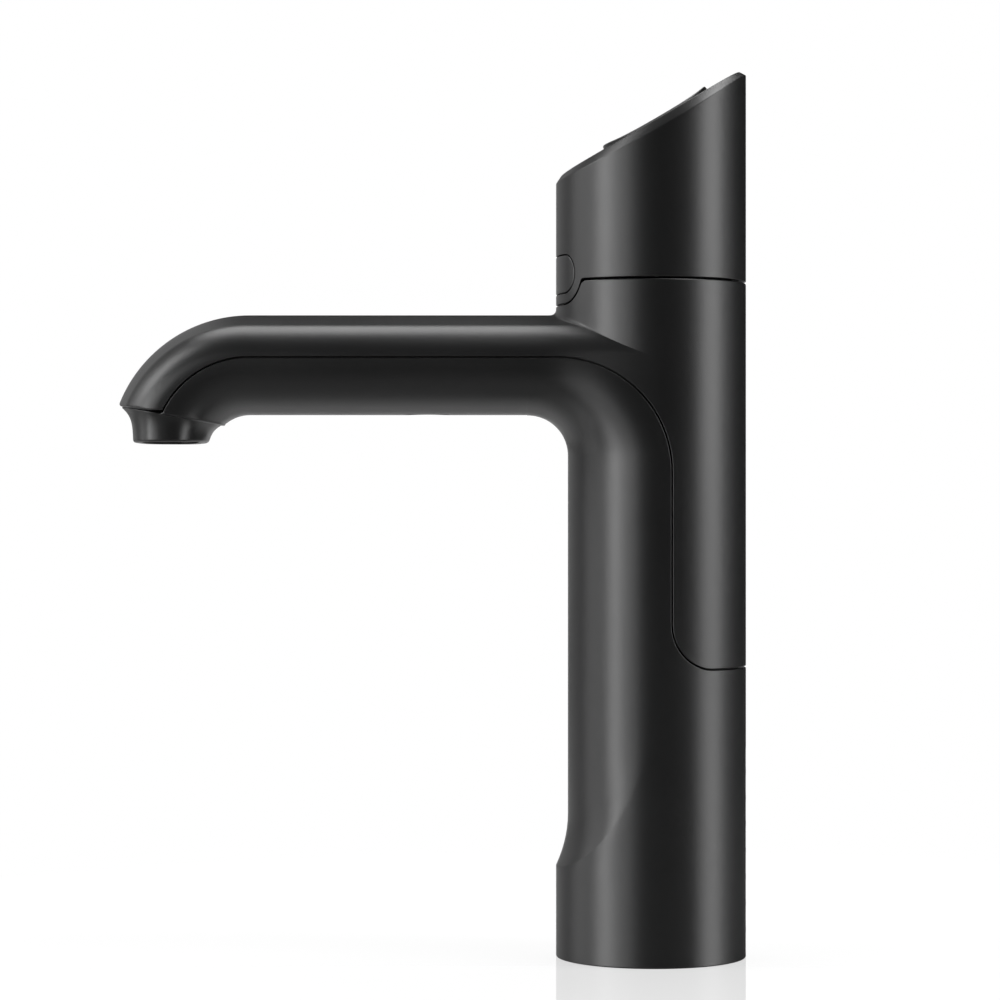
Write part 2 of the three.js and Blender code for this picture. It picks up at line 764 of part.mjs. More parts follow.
// heights over the slanted face, from the buttons down to the carrier
const buttonTop = padRaise - capDrop;
const skirtTop = -skirtDrop;
const skirtBottom = skirtTop - buttonSkirt;
const matTop = skirtBottom - buttonTravel - gap - domeHeight;
const matBottom = matTop - matSheet - matRim;
const deckBottom = -(facePlateThickness + gap + headDeck);
const switchTop = matTop - matSheet - gap;
const boardTop = switchTop - switchHeight - gap;
const boardBottom = boardTop - boardThickness;
const buttonMid = buttonRadius / 2 + past;
const trayBore = padRadius - past;
const trayRadius = trayBore + traySide;
const trayPlaces = [0, 120, 240].map((turn) => onCircle(
  trayRadius + trayFlange - trayScrewInset, turn, padCentre));

const lockInner = columnRadius - lockDepth;
const plungerEnd = -(lockInner - plungerReach);
const lockSwitchFront = plungerEnd + buttonTravel + lockPlay;
const lockSwitchBack = lockSwitchFront + lockSwitchDepth;
const lockBoardFront = lockSwitchBack + gap;
const lockBoardBack = lockBoardFront + boardThickness;
const ribBottom = lockHeight + lockRadius + lockLip + ribStart;
const ribTop = ribBottom + ribHeight;

function controlHead() {
  const space = cylinder(columnRadius - headWall, headBottom - far, faceHeight + far, 0, 0, 48)
    .intersect(onSlope(box(-far, far, -far, far, -4 * far, deckBottom)));
  const recess = onSlope(prism(faceOutline(0), -(facePlateThickness + gap), far));
  const padHole = onSlope(prism(circle(padRadius - capDrop, 0, padCentre), 2 * deckBottom, far));
  const pilots = trayPlaces.map(([x, y]) => onSlope(
    cylinder(trayScrewRadius + gap, deckBottom - past, deckBottom + 2 * past, x, y, 10)));
  const inside = boreRadius - gap;
  const spigot = cut(
    ringOf(inside - spigotWall, inside, headBottom - spigotDepth, headBottom + lugHeight),
    box(-inside + 2 * spigotWall, inside - 2 * spigotWall, -far, 0, headBottom - far, faceHeight));
  const lugs = headLugs.map(([x, y]) => cylinder(
    headLugRadius, lugJoint, headBottom + 2 * past, x, y, 16)
    .intersect(cylinder(inside, 0, faceHeight, 0, 0, 48)));
  const lugPilots = headLugs.map(([x, y]) => cylinder(
    headScrewRadius + gap, lugJoint - past, headBottom - headPilotEnd, x, y, 10));
  const tab = ringOf(boreRadius, columnRadius, headBottom - 2 * tabRadius, headBottom + past, 48)
    .intersect(tabRegion(0));
  const ribs = [-1, 1].map((side) => {
    const near = side * (lockBoardHalf + gap);
    const edge = side * (lockBoardHalf + gap + ribThickness);
    return box(
      Math.min(near, edge), Math.max(near, edge),
      -(lockInner + gap), lockBoardBack + gap, ribBottom, ribTop);
  });
  const shell = cut(join(headForm(), tab), space, recess, padHole, ...pilots);
  return cut(
    join(shell, spigot, ...lugs, ...ribs),
    ...lugPilots, frontPrism(wrappedCapsule(lockRadius + gap), -far, -lockDepth));
}

function lockButton() {
  const low = lockHeight - 2 * lockRadius;
  const high = lockHeight + 2 * lockRadius;
  const cap = frontPrism(wrappedCapsule(lockRadius), -far, -lockDepth)
    .intersect(ringOf(lockInner, columnRadius, low, high));
  const flange = frontPrism(wrappedCapsule(lockRadius + lockLip), -far, -lockDepth)
    .intersect(ringOf(lockInner, columnRadius - headWall - gap - capDrop, low, high));
  const plunger = cylinder(plungerRadius, -(lockInner + overlap), plungerEnd, 0, 0, 12)
    .rotate([-90, 0, 0]).translate([0, 0, lockHeight]);
  return join(cap, flange, plunger);
}

// One half of a disc, left (-1) or right (1) of the divider.
function halfDisc(side, radius, bottom, top) {
  const edge = dividerWidth / 2 + gap;
  const half = side < 0 ? box(-far, -edge, -far, far, -far, far) : box(edge, far, -far, far, -far, far);
  return prism(circle(radius, 0, padCentre, 32), bottom, top).intersect(half);
}

function pushButton(side) {
  const cap = halfDisc(side, buttonRadius, skirtBottom, buttonTop);
  const skirt = halfDisc(side, buttonRadius + skirtExtra, skirtBottom, skirtTop);
  const well = cylinder(
    markerRadius + gap, buttonTop - markerDepth, buttonTop + past, side * buttonMid, padCentre, 20);
  return cut(join(cap, skirt), well);
}

function keypadBezel() {
  const flange = prism(circle(padRadius, 0, padCentre, 40), gap, padRaise);
  const neck = prism(circle(padRadius - bezelLip, 0, padCentre, 40), matTop + gap, padRaise / 2);
  const upper = prism(circle(buttonRadius + gap, 0, padCentre, 32), -far, far);
  const lower = prism(circle(buttonRadius + skirtExtra + gap, 0, padCentre, 32), -far, skirtTop + gap);
  const reach = buttonRadius + skirtExtra + 3 * gap;
  const divider = box(
    -dividerWidth / 2, dividerWidth / 2, padCentre - reach, padCentre + reach, matTop + gap, padRaise);
  return join(cut(join(flange, neck), upper, lower), divider);
}

function keypadMat() {
  const edge = circle(padRadius - capDrop - gap, 0, padCentre, 32);
  const sheet = prism(edge, matTop - matSheet, matTop);
  const rim = cut(
    prism(edge, matBottom, matTop - matSheet / 2),
    prism(circle(padRadius - matRimWidth, 0, padCentre, 32), -far, matTop - matSheet));
  const domes = [-1, 1].map((side) => cylinder(
    domeRadius, matTop - matSheet / 2, matTop + domeHeight, side * buttonMid, padCentre, 16));
  return join(sheet, rim, ...domes);
}

function headCarrier() {
  const floor = boardBottom - gap;
  const flangeTop = deckBottom - gap;
  const flangeBottom = flangeTop - trayFlangeHeight;
  const tray = lathe([
    [trayBore - trayLedge, floor - trayFloor], [trayRadius, floor - trayFloor],
    [trayRadius, flangeBottom], [trayRadius + trayFlange, flangeBottom],
    [trayRadius + trayFlange, flangeTop], [trayBore, flangeTop],
    [trayBore, floor], [trayBore - trayLedge, floor],
  ], 36).translate([0, padCentre, 0]);
  return cut(tray, ...trayPlaces.map(([x, y]) => cylinder(trayScrewRadius + gap, -far, 0, x, y, 10)));
}

// ---- pieces inside ----
function nozzleManifold() {
  const insertTop = outletBottom + insertRecess + insertHeight;
  const block = box(-manifoldHalf, manifoldHalf, manifoldFront, manifoldBack, manifoldBottom, manifoldTop);
  const spigot = cylinder(spoutRadius, outletBottom + spoutStart, manifoldBottom + past, 0, outletMidY, 24);
  const bore = cylinder(spoutBore, outletBottom, portHeight + past, 0, outletMidY, 16);
  const foot = box(
    -manifoldHalf - overlap, manifoldHalf + overlap, outletMidY - manifoldFootHalf,
    outletMidY + manifoldFootHalf, insertTop + gap, manifoldBottom + past);
  const sockets = Object.values(tubes).map(({ armX, radius }) => cylinder(
    radius - tubeWall, -past, socketDepth, 0, 0, 12)
    .rotate([90, 0, 0]).translate([armX * portSpread, manifoldBack, portHeight]));
  const reach = tubes.chilled.armX * portSpread;
  const gallery = cylinder(galleryRadius, -reach, reach, 0, 0, 12)
    .rotate([0, 90, 0]).translate([0, manifoldBack - galleryAway, portHeight]);
  return cut(join(block, spigot, foot), bore, gallery, ...sockets);
}

function outletInsert() {
  const inset = outletWall + gap;
  const bottom = outletBottom + insertRecess;
  const top = bottom + insertHeight;
  const body = prism(
    roundedBox(outletHalfWidth - inset, outletFrontY + inset, outletBackY - inset, outletCorner - inset),
    bottom, top);
  const bore = cylinder(spoutRadius + insertClearance, bottom - past, top + past, 0, outletMidY, 28);
  const slots = [-1, 1].map((side) => box(
    Math.min(side * slotNear, side * slotFar), Math.max(side * slotNear, side * slotFar),
    outletMidY - slotHalf, outletMidY + slotHalf, bottom - past, top + past));
  return cut(body, bore, ...slots);
}

function outletSeal() {
  const bottom = outletBottom + spoutSealStart;
  const top = bottom + spoutSealSize;
  return cut(
    cylinder(spoutRadius + spoutSealSize, bottom, top, 0, outletMidY),
    cylinder(spoutRadius + gap, bottom - past, top + past, 0, outletMidY));
}

function tubeClip() {
  const bottom = tubeHeight - clipBelow;
  const plate = prism(
    roundedBox(armHalfWidth - clipInset, bottom, tubeHeight + clipAbove, minWall, 3), -clipHalf, clipHalf)
    .rotate([90, 0, 0]).translate([0, clipY, 0]);
  const foot = box(
    -clipFootHalf, clipFootHalf, clipY - clipHalf, clipY + clipHalf, armBottom + wall + gap, bottom + past);
  const holes = Object.values(tubes).map(({ armX, radius }) => cylinder(
    radius + gap, -2 * clipHalf, 2 * clipHalf, 0, 0, 16)
    .rotate([90, 0, 0]).translate([armX, clipY, tubeHeight]));
  return cut(join(plate, foot), ...holes);
}

function columnClamp() {
  const top = clampHeight + clampThickness;
  const disc = loft([columnRing(clampHeight, 1, wall + gap, 40), columnRing(top, 1, wall + gap, 40)]);
  const holes = Object.values(tubes).map(({ x, y, radius }) => cylinder(
    radius + gap, 0, top + past, x, y, 16));
  return cut(disc, ...holes, cylinder(leadRadius + gap, 0, top + past, 0, socketY, 12));
}

// From the base up the column, round the bend and along the arm to the manifold's back.
function tubePath({ x, y, armX }) {
  const end = manifoldBack + gap;
  const portX = armX * portSpread;
  return new THREE.CatmullRomCurve3([
    new THREE.Vector3(x, y, tubeEnd),
    new THREE.Vector3(x, y, clampHeight / 2),
    new THREE.Vector3(x, y, clampHeight),
    new THREE.Vector3(x, y, tubeHeight - 1.93 * tubeBend),
    new THREE.Vector3(x + (armX - x) * 0.3, y - 0.29 * tubeBend, tubeHeight - 0.33 * tubeBend),
    new THREE.Vector3(armX, y - 1.8 * tubeBend, tubeHeight),
    new THREE.Vector3(armX, clipY, tubeHeight),
    new THREE.Vector3(portX, bendStart + 0.53 * tubeBend, tubeHeight - past),
    new THREE.Vector3(portX, end + 0.27 * tubeBend, portHeight),
    new THREE.Vector3(portX, end, portHeight),
  ], false, 'centripetal');
}

function leadPath() {
  const plug = boardBottom - gap - connectorHeight;
  return new THREE.CatmullRomCurve3([
    new THREE.Vector3(0, socketY, plateThickness + socketRise + gap),
    new THREE.Vector3(0, socketY, clampHeight / 2),
    new THREE.Vector3(0, socketY, clampHeight),
    new THREE.Vector3(0, socketY, bodyTop - 2 * ringHeight),
    new THREE.Vector3(0, socketY + ringHeight / 2, bodyTop + 2 * ringHeight),
    onSlopePoint(0, padCentre, plug - ringHeight),
    onSlopePoint(0, padCentre, plug - gap),
  ], false, 'centripetal');
}

function lockLeadPath() {
  const side = lockBoardHalf / 2;
  return new THREE.CatmullRomCurve3([
    new THREE.Vector3(side, lockBoardBack + gap, ribBottom - past),
    new THREE.Vector3(side, lockBoardBack + ribHeight, ribBottom - past / 2),
    new THREE.Vector3(side, lockBoardBack + 3 * ribHeight, ribBottom + 2 * ribHeight),
    onSlopePoint(side, -switchHalf, boardBottom - 2 * ribHeight),
    onSlopePoint(side, -switchHalf, boardBottom - gap),
  ], false, 'centripetal');
}

// ---- materials ----
const finish = (color, roughness, metalness) => ({ color, roughness, metalness });
const satinBlack = finish(0x1c1c1d, 0.42, 0.1);
const satinCover = finish(0x1d1d1e, 0.42, 0.05);
const gloss = finish(0x232324, 0.3, 0);
const darkRubber = finish(0x141414, 0.85, 0);
const darkPlastic = finish(0x26272a, 0.6, 0);
const brass = finish(0xb08d4c, 0.35, 0.9);
const steel = finish(0xb4b6b8, 0.35, 0.9);
const board = finish(0x1f5a34, 0.5, 0);
const silicone = finish(0xd9dcdd, 0.5, 0);

const tap = new THREE.Group();

function add(name, geometry, look, parent = tap) {
  const mesh = new THREE.Mesh(geometry, new THREE.MeshStandardMaterial(look));
  mesh.name = name;
  parent.add(mesh);
  return mesh;
}

function addSolid(name, solid, look, parent = tap) {
  return add(name, toGeometry(solid), look, parent);
}

// ---- body ----
addSolid('main_body', mainBody(), satinBlack);
addSolid('rear_top_cover', rearTopCover(), satinCover);
addSolid('base_plate', basePlate(), brass);
addSolid('base_seal', ringOf(
  recessRadius - gap - sealWidth, recessRadius - gap, 0, sealHeight), darkRubber);
plateScrews.forEach(([x, y], i) => {
  addSolid(`base_plate_screw_${i + 1}`, screw(
    plateScrewHead, plateScrewSink, counterboreDepth - gap,
    plateScrewRadius, plateBossTop - plateScrewEnd, x, y), steel);
});
addSolid('screw_plug', cylinder(
  plugRadius, armBottom + plugRecess, pocketTop - gap, 0, plugY, 28), satinBlack);
addSolid('cover_screw', screw(
  2 * coverScrewRadius, pocketTop + gap, screwSeat - gap,
  coverScrewRadius, armTop - wall - past, 0, plugY), steel);

// ---- inside ----
for (const [name, tube] of Object.entries(tubes)) {
  add(`${name}_tube`, tubeAlong(tubePath(tube), tube.radius, tube.radius - tubeWall, 26), silicone);
}
addSolid('nozzle_manifold', nozzleManifold(), darkPlastic);
addSolid('outlet_insert', outletInsert(), darkPlastic);
addSolid('outlet_seal', outletSeal(), darkRubber);
addSolid('tube_clip', tubeClip(), darkPlastic);
addSolid('column_clamp', columnClamp(), darkPlastic);
add('signal_lead', tubeAlong(leadPath(), leadRadius, 0, 20, 6), darkRubber);
addSolid('lead_socket', leadSocket(), darkPlastic);

// ---- head ----
addSolid('control_head', controlHead(), satinBlack);
addSolid('lock_button', lockButton(), gloss);
addSolid('lock_switch', box(
  -switchHalf, switchHalf, lockSwitchFront, lockSwitchBack,
  lockHeight - switchHalf, lockHeight + switchHalf), darkPlastic);
addSolid('lock_switch_board', box(
  -lockBoardHalf, lockBoardHalf, lockBoardFront, lockBoardBack,
  lockHeight - lockBoardDrop, ribTop), board);
add('lock_lead', tubeAlong(lockLeadPath(), lockLeadRadius, 0, 14, 6), darkRubber);
headLugs.forEach(([x, y], i) => {
  const seat = lugJoint - lugHeight - gap;
  addSolid(`head_screw_${i + 1}`, screw(
    headScrewHead, seat - headScrewHeadHeight, seat,
    headScrewRadius, headBottom - headScrewEnd, x, y), steel);
});

const slopeGroup = new THREE.Group();
slopeGroup.position.set(0, 0, faceHeight);
slopeGroup.rotation.set(slopeAngle, 0, 0);
tap.add(slopeGroup);

addSolid('face_plate', cut(
  prism(faceOutline(gap), -facePlateThickness, 0),
  prism(circle(padRadius - bezelLip + gap, 0, padCentre, 40), -far, far)), satinBlack, slopeGroup);
addSolid('keypad_bezel', keypadBezel(), satinBlack, slopeGroup);
[['boiling', -1, 0xb3201c], ['chilled', 1, 0x1f5fae]].forEach(([name, side, color]) => {
  const middle = side * buttonMid;
  addSolid(`${name}_button`, pushButton(side), gloss, slopeGroup);
  addSolid(`${name}_marker`, cylinder(
    markerRadius, buttonTop - markerDepth + gap, buttonTop, middle, padCentre, 20),
  finish(color, 0.4, 0), slopeGroup);
  addSolid(`${name}_switch`, box(
    middle - switchHalf, middle + switchHalf, padCentre - switchHalf, padCentre + switchHalf,
    switchTop - switchHeight, switchTop), darkPlastic, slopeGroup);
});
addSolid('keypad_mat', keypadMat(), darkRubber, slopeGroup);
addSolid('circuit_board', prism(
  circle(trayBore - gap, 0, padCentre, 32), boardBottom, boardTop), board, slopeGroup);
addSolid('board_connector', box(
  -connectorHalf[0], connectorHalf[0], padCentre - connectorHalf[1], padCentre + connectorHalf[1],
  boardBottom - gap - connectorHeight, boardBottom - gap), darkPlastic, slopeGroup);
addSolid('head_carrier', headCarrier(), darkPlastic, slopeGroup);
trayPlaces.forEach(([x, y], i) => {
  const seat = deckBottom - 2 * gap - trayFlangeHeight;
  addSolid(`carrier_screw_${i + 1}`, screw(
    trayScrewHead, seat - trayScrewHead, seat,
    trayScrewRadius, deckBottom + trayScrewGrip, x, y), steel, slopeGroup);
});

tap.updateMatrixWorld(true);

export default tap;
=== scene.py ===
# Boiling water tap in satin black: column, arm with outlet, slanted push-button head.
from math import acos, asin, atan, atan2, cos, hypot, pi, radians, sin, sqrt, tan

import bmesh
import bpy
import numpy as np
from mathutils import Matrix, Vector
from mathutils.geometry import delaunay_2d_cdt


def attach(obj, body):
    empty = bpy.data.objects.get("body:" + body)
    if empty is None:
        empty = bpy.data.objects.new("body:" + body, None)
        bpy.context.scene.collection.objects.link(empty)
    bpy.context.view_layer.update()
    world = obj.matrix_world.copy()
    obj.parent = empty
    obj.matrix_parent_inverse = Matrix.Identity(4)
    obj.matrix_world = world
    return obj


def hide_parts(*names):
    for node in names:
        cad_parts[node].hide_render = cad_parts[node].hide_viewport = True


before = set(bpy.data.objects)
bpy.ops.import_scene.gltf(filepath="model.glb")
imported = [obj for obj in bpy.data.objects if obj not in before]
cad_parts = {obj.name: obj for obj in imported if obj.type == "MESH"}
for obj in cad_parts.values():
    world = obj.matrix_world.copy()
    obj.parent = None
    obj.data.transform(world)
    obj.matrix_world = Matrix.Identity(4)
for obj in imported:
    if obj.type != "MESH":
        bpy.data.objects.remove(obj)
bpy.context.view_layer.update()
mm = 0.001
white = (1, 1, 1, 1)
bpy.context.scene.view_settings.view_transform = "Standard"
print("frame loaded")


def addObject(name, data):
    thing = bpy.data.objects.new(name, data)
    bpy.context.scene.collection.objects.link(thing)
    return thing


# The camera is level and looks along -X. Its eye is in millimetres, the clip in metres.
shot = {"eye": (974.0, -44.55, 134.6), "lens": 118.74, "sensor": 36.0, "clipEnd": 50}


def makeCamera():
    data = bpy.data.cameras.new("camera")
    data.lens = shot["lens"]
    data.sensor_width = shot["sensor"]
    data.clip_end = shot["clipEnd"]
    camera = addObject("camera", data)
    camera.location = Vector(shot["eye"]) * mm
    camera.rotation_euler = (pi / 2, 0, pi / 2)
    bpy.context.scene.camera = camera


# Lamps round the tap: turn from the +X axis in degrees, distance, heights and size in metres.
# Upright ones stand on the floor and are aimed level, the upper ones are aimed at the tap.
lamps = {  # turn, away, middle, aim, width, height, glow
    "front": (-59, 1.5, 0.45, 0.45, 0.48, 0.86, 9.3),
    "frontSoft": (-36, 1.5, 0.45, 0.45, 0.6, 0.86, 3.1),
    "left": (-95, 1.5, 0.68, 0.68, 0.92, 1.3, 1.9),
    "farLeft": (-146, 1.5, 0.68, 0.68, 1.15, 1.3, 0.45),
    "rear": (75, 1.5, 0.68, 0.68, 0.76, 1.3, 5.6),
    "rearSoft": (102, 1.5, 0.68, 0.68, 0.4, 1.3, 0.6),
    "over": (180, 0.53, 1.62, 0.15, 1.4, 0.72, 5.2),
    "overLeft": (-84, 1.13, 1.12, 0.15, 0.46, 0.85, 7.2),
    "overRear": (72, 0.62, 1.4, 0.2, 0.6, 0.45, 12.0),
}
lampCentre = (0, -0.05)


def makeLamps():
    x, y = lampCentre
    for name, (turn, away, middle, aim, width, height, glow) in lamps.items():
        data = bpy.data.lights.new(name, "AREA")
        data.shape = "RECTANGLE"
        data.size, data.size_y = width, height
        data.energy = pi * glow * width * height
        lamp = addObject(name, data)
        lamp.location = (x + away * cos(radians(turn)), y + away * sin(radians(turn)), middle)
        lamp.rotation_euler = (lamp.location - Vector((x, y, aim))).to_track_quat("Z", "Y").to_euler()
        lamp.visible_camera = False


# Links a wire to a socket, or sets the socket's own value.
def feed(tree, slot, value):
    if isinstance(value, Wire):
        tree.links.new(value.socket, slot)
    else:
        slot.default_value = value


class Wire:  # a node's output that can be used in a Python expression
    def __init__(self, tree, socket):
        self.tree = tree
        self.socket = socket

    def __getitem__(self, name):  # another output of the same node
        return Wire(self.tree, self.socket.node.outputs[name])

    def math(self, operation, *values):
        node = self.tree.nodes.new("ShaderNodeMath")
        node.operation = operation
        for slot, value in zip(node.inputs, values):
            feed(self.tree, slot, value)
        return Wire(self.tree, node.outputs[0])

    def __add__(self, other):
        return self.math("ADD", self, other)

    def __radd__(self, other):
        return self.math("ADD", other, self)

    def __sub__(self, other):
        return self.math("SUBTRACT", self, other)

    def __rsub__(self, other):
        return self.math("SUBTRACT", other, self)

    def __mul__(self, other):
        return self.math("MULTIPLY", self, other)

    def __rmul__(self, other):
        return self.math("MULTIPLY", other, self)

    def clipped(self):
        return self.math("MINIMUM", self.math("MAXIMUM", self, 0.0), 1.0)


class Sheet:  # a node tree with one method that makes every other kind of node
    def __init__(self, tree):
        self.tree = tree
        tree.nodes.clear()

    def node(self, kind, settings=None, **values):  # i0, i1 and so on are sockets by their number
        node = self.tree.nodes.new(kind)
        for key, value in (settings or {}).items():
            setattr(node, key, value)
        for key, value in values.items():
            byNumber = key[0] == "i" and key[1:].isdigit()
            feed(self.tree, node.inputs[int(key[1:]) if byNumber else key.replace("_", " ")], value)
        return Wire(self.tree, node.outputs[0]) if node.outputs else None


def newMaterial(name):
    material = bpy.data.materials.new(name)
    material.use_nodes = True
    return material, Sheet(material.node_tree)


def grey(tone):
    return (tone, tone, tone, 1)


worldGlow = 0.008


# White where the camera, a sharp reflection or glass looks at it, and dim for the light that it gives.
def makeWorld():
    world = bpy.data.worlds.new("studio")
    world.use_nodes = True
    bpy.context.scene.world = world
    sheet = Sheet(world.node_tree)
    path = sheet.node("ShaderNodeLightPath")
    seen = path["Is Camera Ray"] + path["Is Glossy Ray"] * path["Is Singular Ray"]
    seen = (seen + path["Is Transmission Ray"]).clipped()
    dim = sheet.node("ShaderNodeBackground", Color=white, Strength=worldGlow)
    bright = sheet.node("ShaderNodeBackground", Color=white, Strength=1.0)
    both = sheet.node("ShaderNodeMixShader", i0=seen, i1=dim, i2=bright)
    sheet.node("ShaderNodeOutputWorld", Surface=both)


# A flat sheet of the set, which is not part of the tap.
def makeSheet(name, corners, material):
    mesh = bpy.data.meshes.new(name)
    mesh.from_pydata(corners, [], [(0, 1, 2, 3)])
    mesh.materials.append(material)
    thing = addObject(name, mesh)


floorLook = {
    "litCentre": (-0.45, 0.0, 0.0),
    "litReach": 1.1,  # the floor gives light back to the tap within this distance
    "litFade": 0.7, "litTone": 0.45, "farTone": 0.03,
    "sheen": 1.15,  # how much of a low reflection the floor hands on
    "sheenBlur": 0.08,
    "mirrorReach": 0.3,  # the tap's foot is reflected within this distance
    "mirrorFade": 0.12, "mirrorIndex": 1.1, "shadow": 0.15, "shadowTone": 0.8,
}


# White to the camera with a faint shadow and a polished patch round the tap's foot.
def makeFloorLook():
    material, sheet = newMaterial("paleFloor")
    look = floorLook
    place = sheet.node("ShaderNodeTexCoord")["Object"]
    away = sheet.node("ShaderNodeVectorMath", {"operation": "LENGTH"}, i0=place)["Value"]
    behind = sheet.node(
        "ShaderNodeVectorMath", {"operation": "DISTANCE"}, i0=place, i1=look["litCentre"])["Value"]
    lit = ((look["litReach"] - behind) * (1 / look["litFade"])).clipped()
    polished = ((look["mirrorReach"] - away) * (1 / look["mirrorFade"])).clipped()
    tone = sheet.node("ShaderNodeMix", {"data_type": "RGBA"}, i0=lit * lit,
                      i6=grey(look["farTone"]), i7=grey(look["litTone"]))[2]
    given = sheet.node("ShaderNodeBsdfDiffuse", Color=tone)
    sheen = sheet.node("ShaderNodeBsdfGlossy", Color=white, Roughness=look["sheenBlur"])
    low = sheet.node("ShaderNodeLayerWeight", Blend=0.5)["Facing"]
    grazed = (low * low * look["sheen"]).clipped()
    around = sheet.node("ShaderNodeMixShader", i0=grazed, i1=given, i2=sheen)
    matt = sheet.node("ShaderNodeBsdfDiffuse", Color=grey(look["shadowTone"]))
    bright = sheet.node("ShaderNodeEmission", Color=white, Strength=1.0)
    plain = sheet.node("ShaderNodeMixShader", i0=polished * look["shadow"], i1=bright, i2=matt)
    mirror = sheet.node("ShaderNodeBsdfGlossy", Color=white, Roughness=0.0)
    grazing = sheet.node("ShaderNodeFresnel", IOR=look["mirrorIndex"])
    shown = sheet.node("ShaderNodeMixShader", i0=grazing * polished, i1=plain, i2=mirror)
    direct = sheet.node("ShaderNodeLightPath")["Is Camera Ray"]
    both = sheet.node("ShaderNodeMixShader", i0=direct, i1=around, i2=shown)
    sheet.node("ShaderNodeOutputMaterial", Surface=both)
    return material


# White to the camera, reflections and glass, and clear to the light.
def makeBackdropLook():
    material, sheet = newMaterial("whiteBackdrop")
    path = sheet.node("ShaderNodeLightPath")
    seen = (path["Is Camera Ray"] + path["Is Glossy Ray"] + path["Is Transmission Ray"]).clipped()
    clear = sheet.node("ShaderNodeBsdfTransparent")
    bright = sheet.node("ShaderNodeEmission", Color=white, Strength=1.0)
    both = sheet.node("ShaderNodeMixShader", i0=seen, i1=clear, i2=bright)
    sheet.node("ShaderNodeOutputMaterial", Surface=both)
    return material


stageSize = {"floorHalf": 4.0, "backdropAway": 6.0, "backdropHalf": 1.3}


def makeStage():
    corners = ((-1, -1), (1, -1), (1, 1), (-1, 1))
    half, back, wide = stageSize["floorHalf"], -stageSize["backdropAway"], stageSize["backdropHalf"]
    makeSheet("floor", [(x * half, y * half, 0) for x, y in corners], makeFloorLook())
    makeSheet("backdrop", [(back, y * wide, z * wide) for y, z in corners], makeBackdropLook())


makeCamera()
makeLamps()
makeWorld()
makeStage()
print("camera, lamps and stage made")


speckle = {
    "tint": 0.12,  # how far the colour wanders, as a share of itself
    "uneven": 0.06,  # how far the roughness wanders
    "fineShare": 0.7,  # the fine grain's share of the colour, where a broad one has the rest
    "broadScale": 28.0,
}


# A finish with fine grain: speckled colour, uneven gloss and a small bump. Grain is in millimetres.
def makeFinish(name, color, roughness, grain, bump, metal=0.0, coat=0.0):
    material, sheet = newMaterial(name)
    place = sheet.node("ShaderNodeTexCoord")["Object"]
    fine = sheet.node("ShaderNodeTexNoise", Vector=place, Scale=1 / mm / grain, Detail=2.0, Roughness=0.6)
    broad = sheet.node(
        "ShaderNodeTexNoise", Vector=place, Scale=speckle["broadScale"], Detail=3.0, Roughness=0.55)
    dark, pale = ((*(c * (1 + shift) for c in color), 1) for shift in (-speckle["tint"], speckle["tint"]))
    share = fine * speckle["fineShare"] + broad * (1 - speckle["fineShare"])
    mixed = sheet.node("ShaderNodeMix", {"data_type": "RGBA"}, i0=share.clipped(), i6=dark, i7=pale)[2]
    height = sheet.node("ShaderNodeBump", Strength=bump, Distance=grain * mm, Height=fine)
    shine = (broad - 0.5) * speckle["uneven"] + (fine - 0.5) * speckle["uneven"] + roughness
    surface = sheet.node("ShaderNodeBsdfPrincipled", Base_Color=mixed, Roughness=shine.clipped(),
                         Metallic=metal, Coat_Weight=coat, Normal=height)
    sheet.node("ShaderNodeOutputMaterial", Surface=surface)
    return material


finishes = {  # colour, roughness, grain, bump, metal, coat
    "satinBlack": ((0.005, 0.005, 0.0052), 0.36, 0.2, 0.1),
    "buttonBlack": ((0.0075, 0.0075, 0.0078), 0.32, 0.25, 0.05),
    "rubber": ((0.012, 0.012, 0.012), 0.8, 0.5, 0.2),
    "mouldedPlastic": ((0.02, 0.02, 0.022), 0.55, 0.4, 0.15),
    "brass": ((0.55, 0.36, 0.12), 0.32, 0.6, 0.05, 1.0),
    "steel": ((0.52, 0.53, 0.54), 0.3, 0.5, 0.05, 1.0),
    "boardGreen": ((0.014, 0.09, 0.035), 0.4, 0.8, 0.05, 0.0, 0.3),
    "silicone": ((0.62, 0.65, 0.66), 0.45, 0.6, 0.05),
    "redInlay": ((0.42, 0.016, 0.012), 0.35, 0.3, 0.04),
    "blueInlay": ((0.016, 0.1, 0.38), 0.35, 0.3, 0.04),
}
looks = {name: makeFinish(name, *finish) for name, finish in finishes.items()}
print("finishes made")


# From here on sizes are in millimetres. A skin is an open surface that becomes a closed wall with
# rounded rims, and these settings say how finely the skins are drawn.
meshing = {
    "rimSteps": 3,  # round each rim
    "curve": 400,  # points of a curve before it is evened out
    "halvings": 30,  # when the end of the bend is looked for
    "settling": 200,  # when the arm's lines look for the ring
    "level": 1.5,  # spacing along the level seams
    "upright": 2.5,  # along upright edges
    "edge": 1.25,  # along the joint under the head
    "weld": 0.002,  # points nearer than this are one
    "onEdge": 0.02,  # points nearer than this to an edge lie on it
    "circle": 96, "smallCircle": 48,
}
tiny = 1e-12  # keeps a division from zero


def joined(*parts):  # columns of a table, where a number fills its column
    return np.column_stack(np.broadcast_arrays(*parts))


def bowed(start, middle, end, t):  # place at share t of a curve that is drawn towards its middle
    return (1 - t) ** 2 * start + 2 * t * (1 - t) * middle + t * t * end


def lengthAlong(points):
    return np.concatenate([[0], np.cumsum(np.linalg.norm(np.diff(points, axis=0), axis=1))])


# Evenly spaced points along a line.
def resample(points, count):
    along = lengthAlong(points)
    wanted = np.linspace(0, along[-1], count)
    return np.column_stack([np.interp(wanted, along, column) for column in points.T])


def straightLine(start, end, step):
    count = max(2, int(np.linalg.norm(np.subtract(end, start)) / step) + 1)
    return np.linspace(start, end, count)


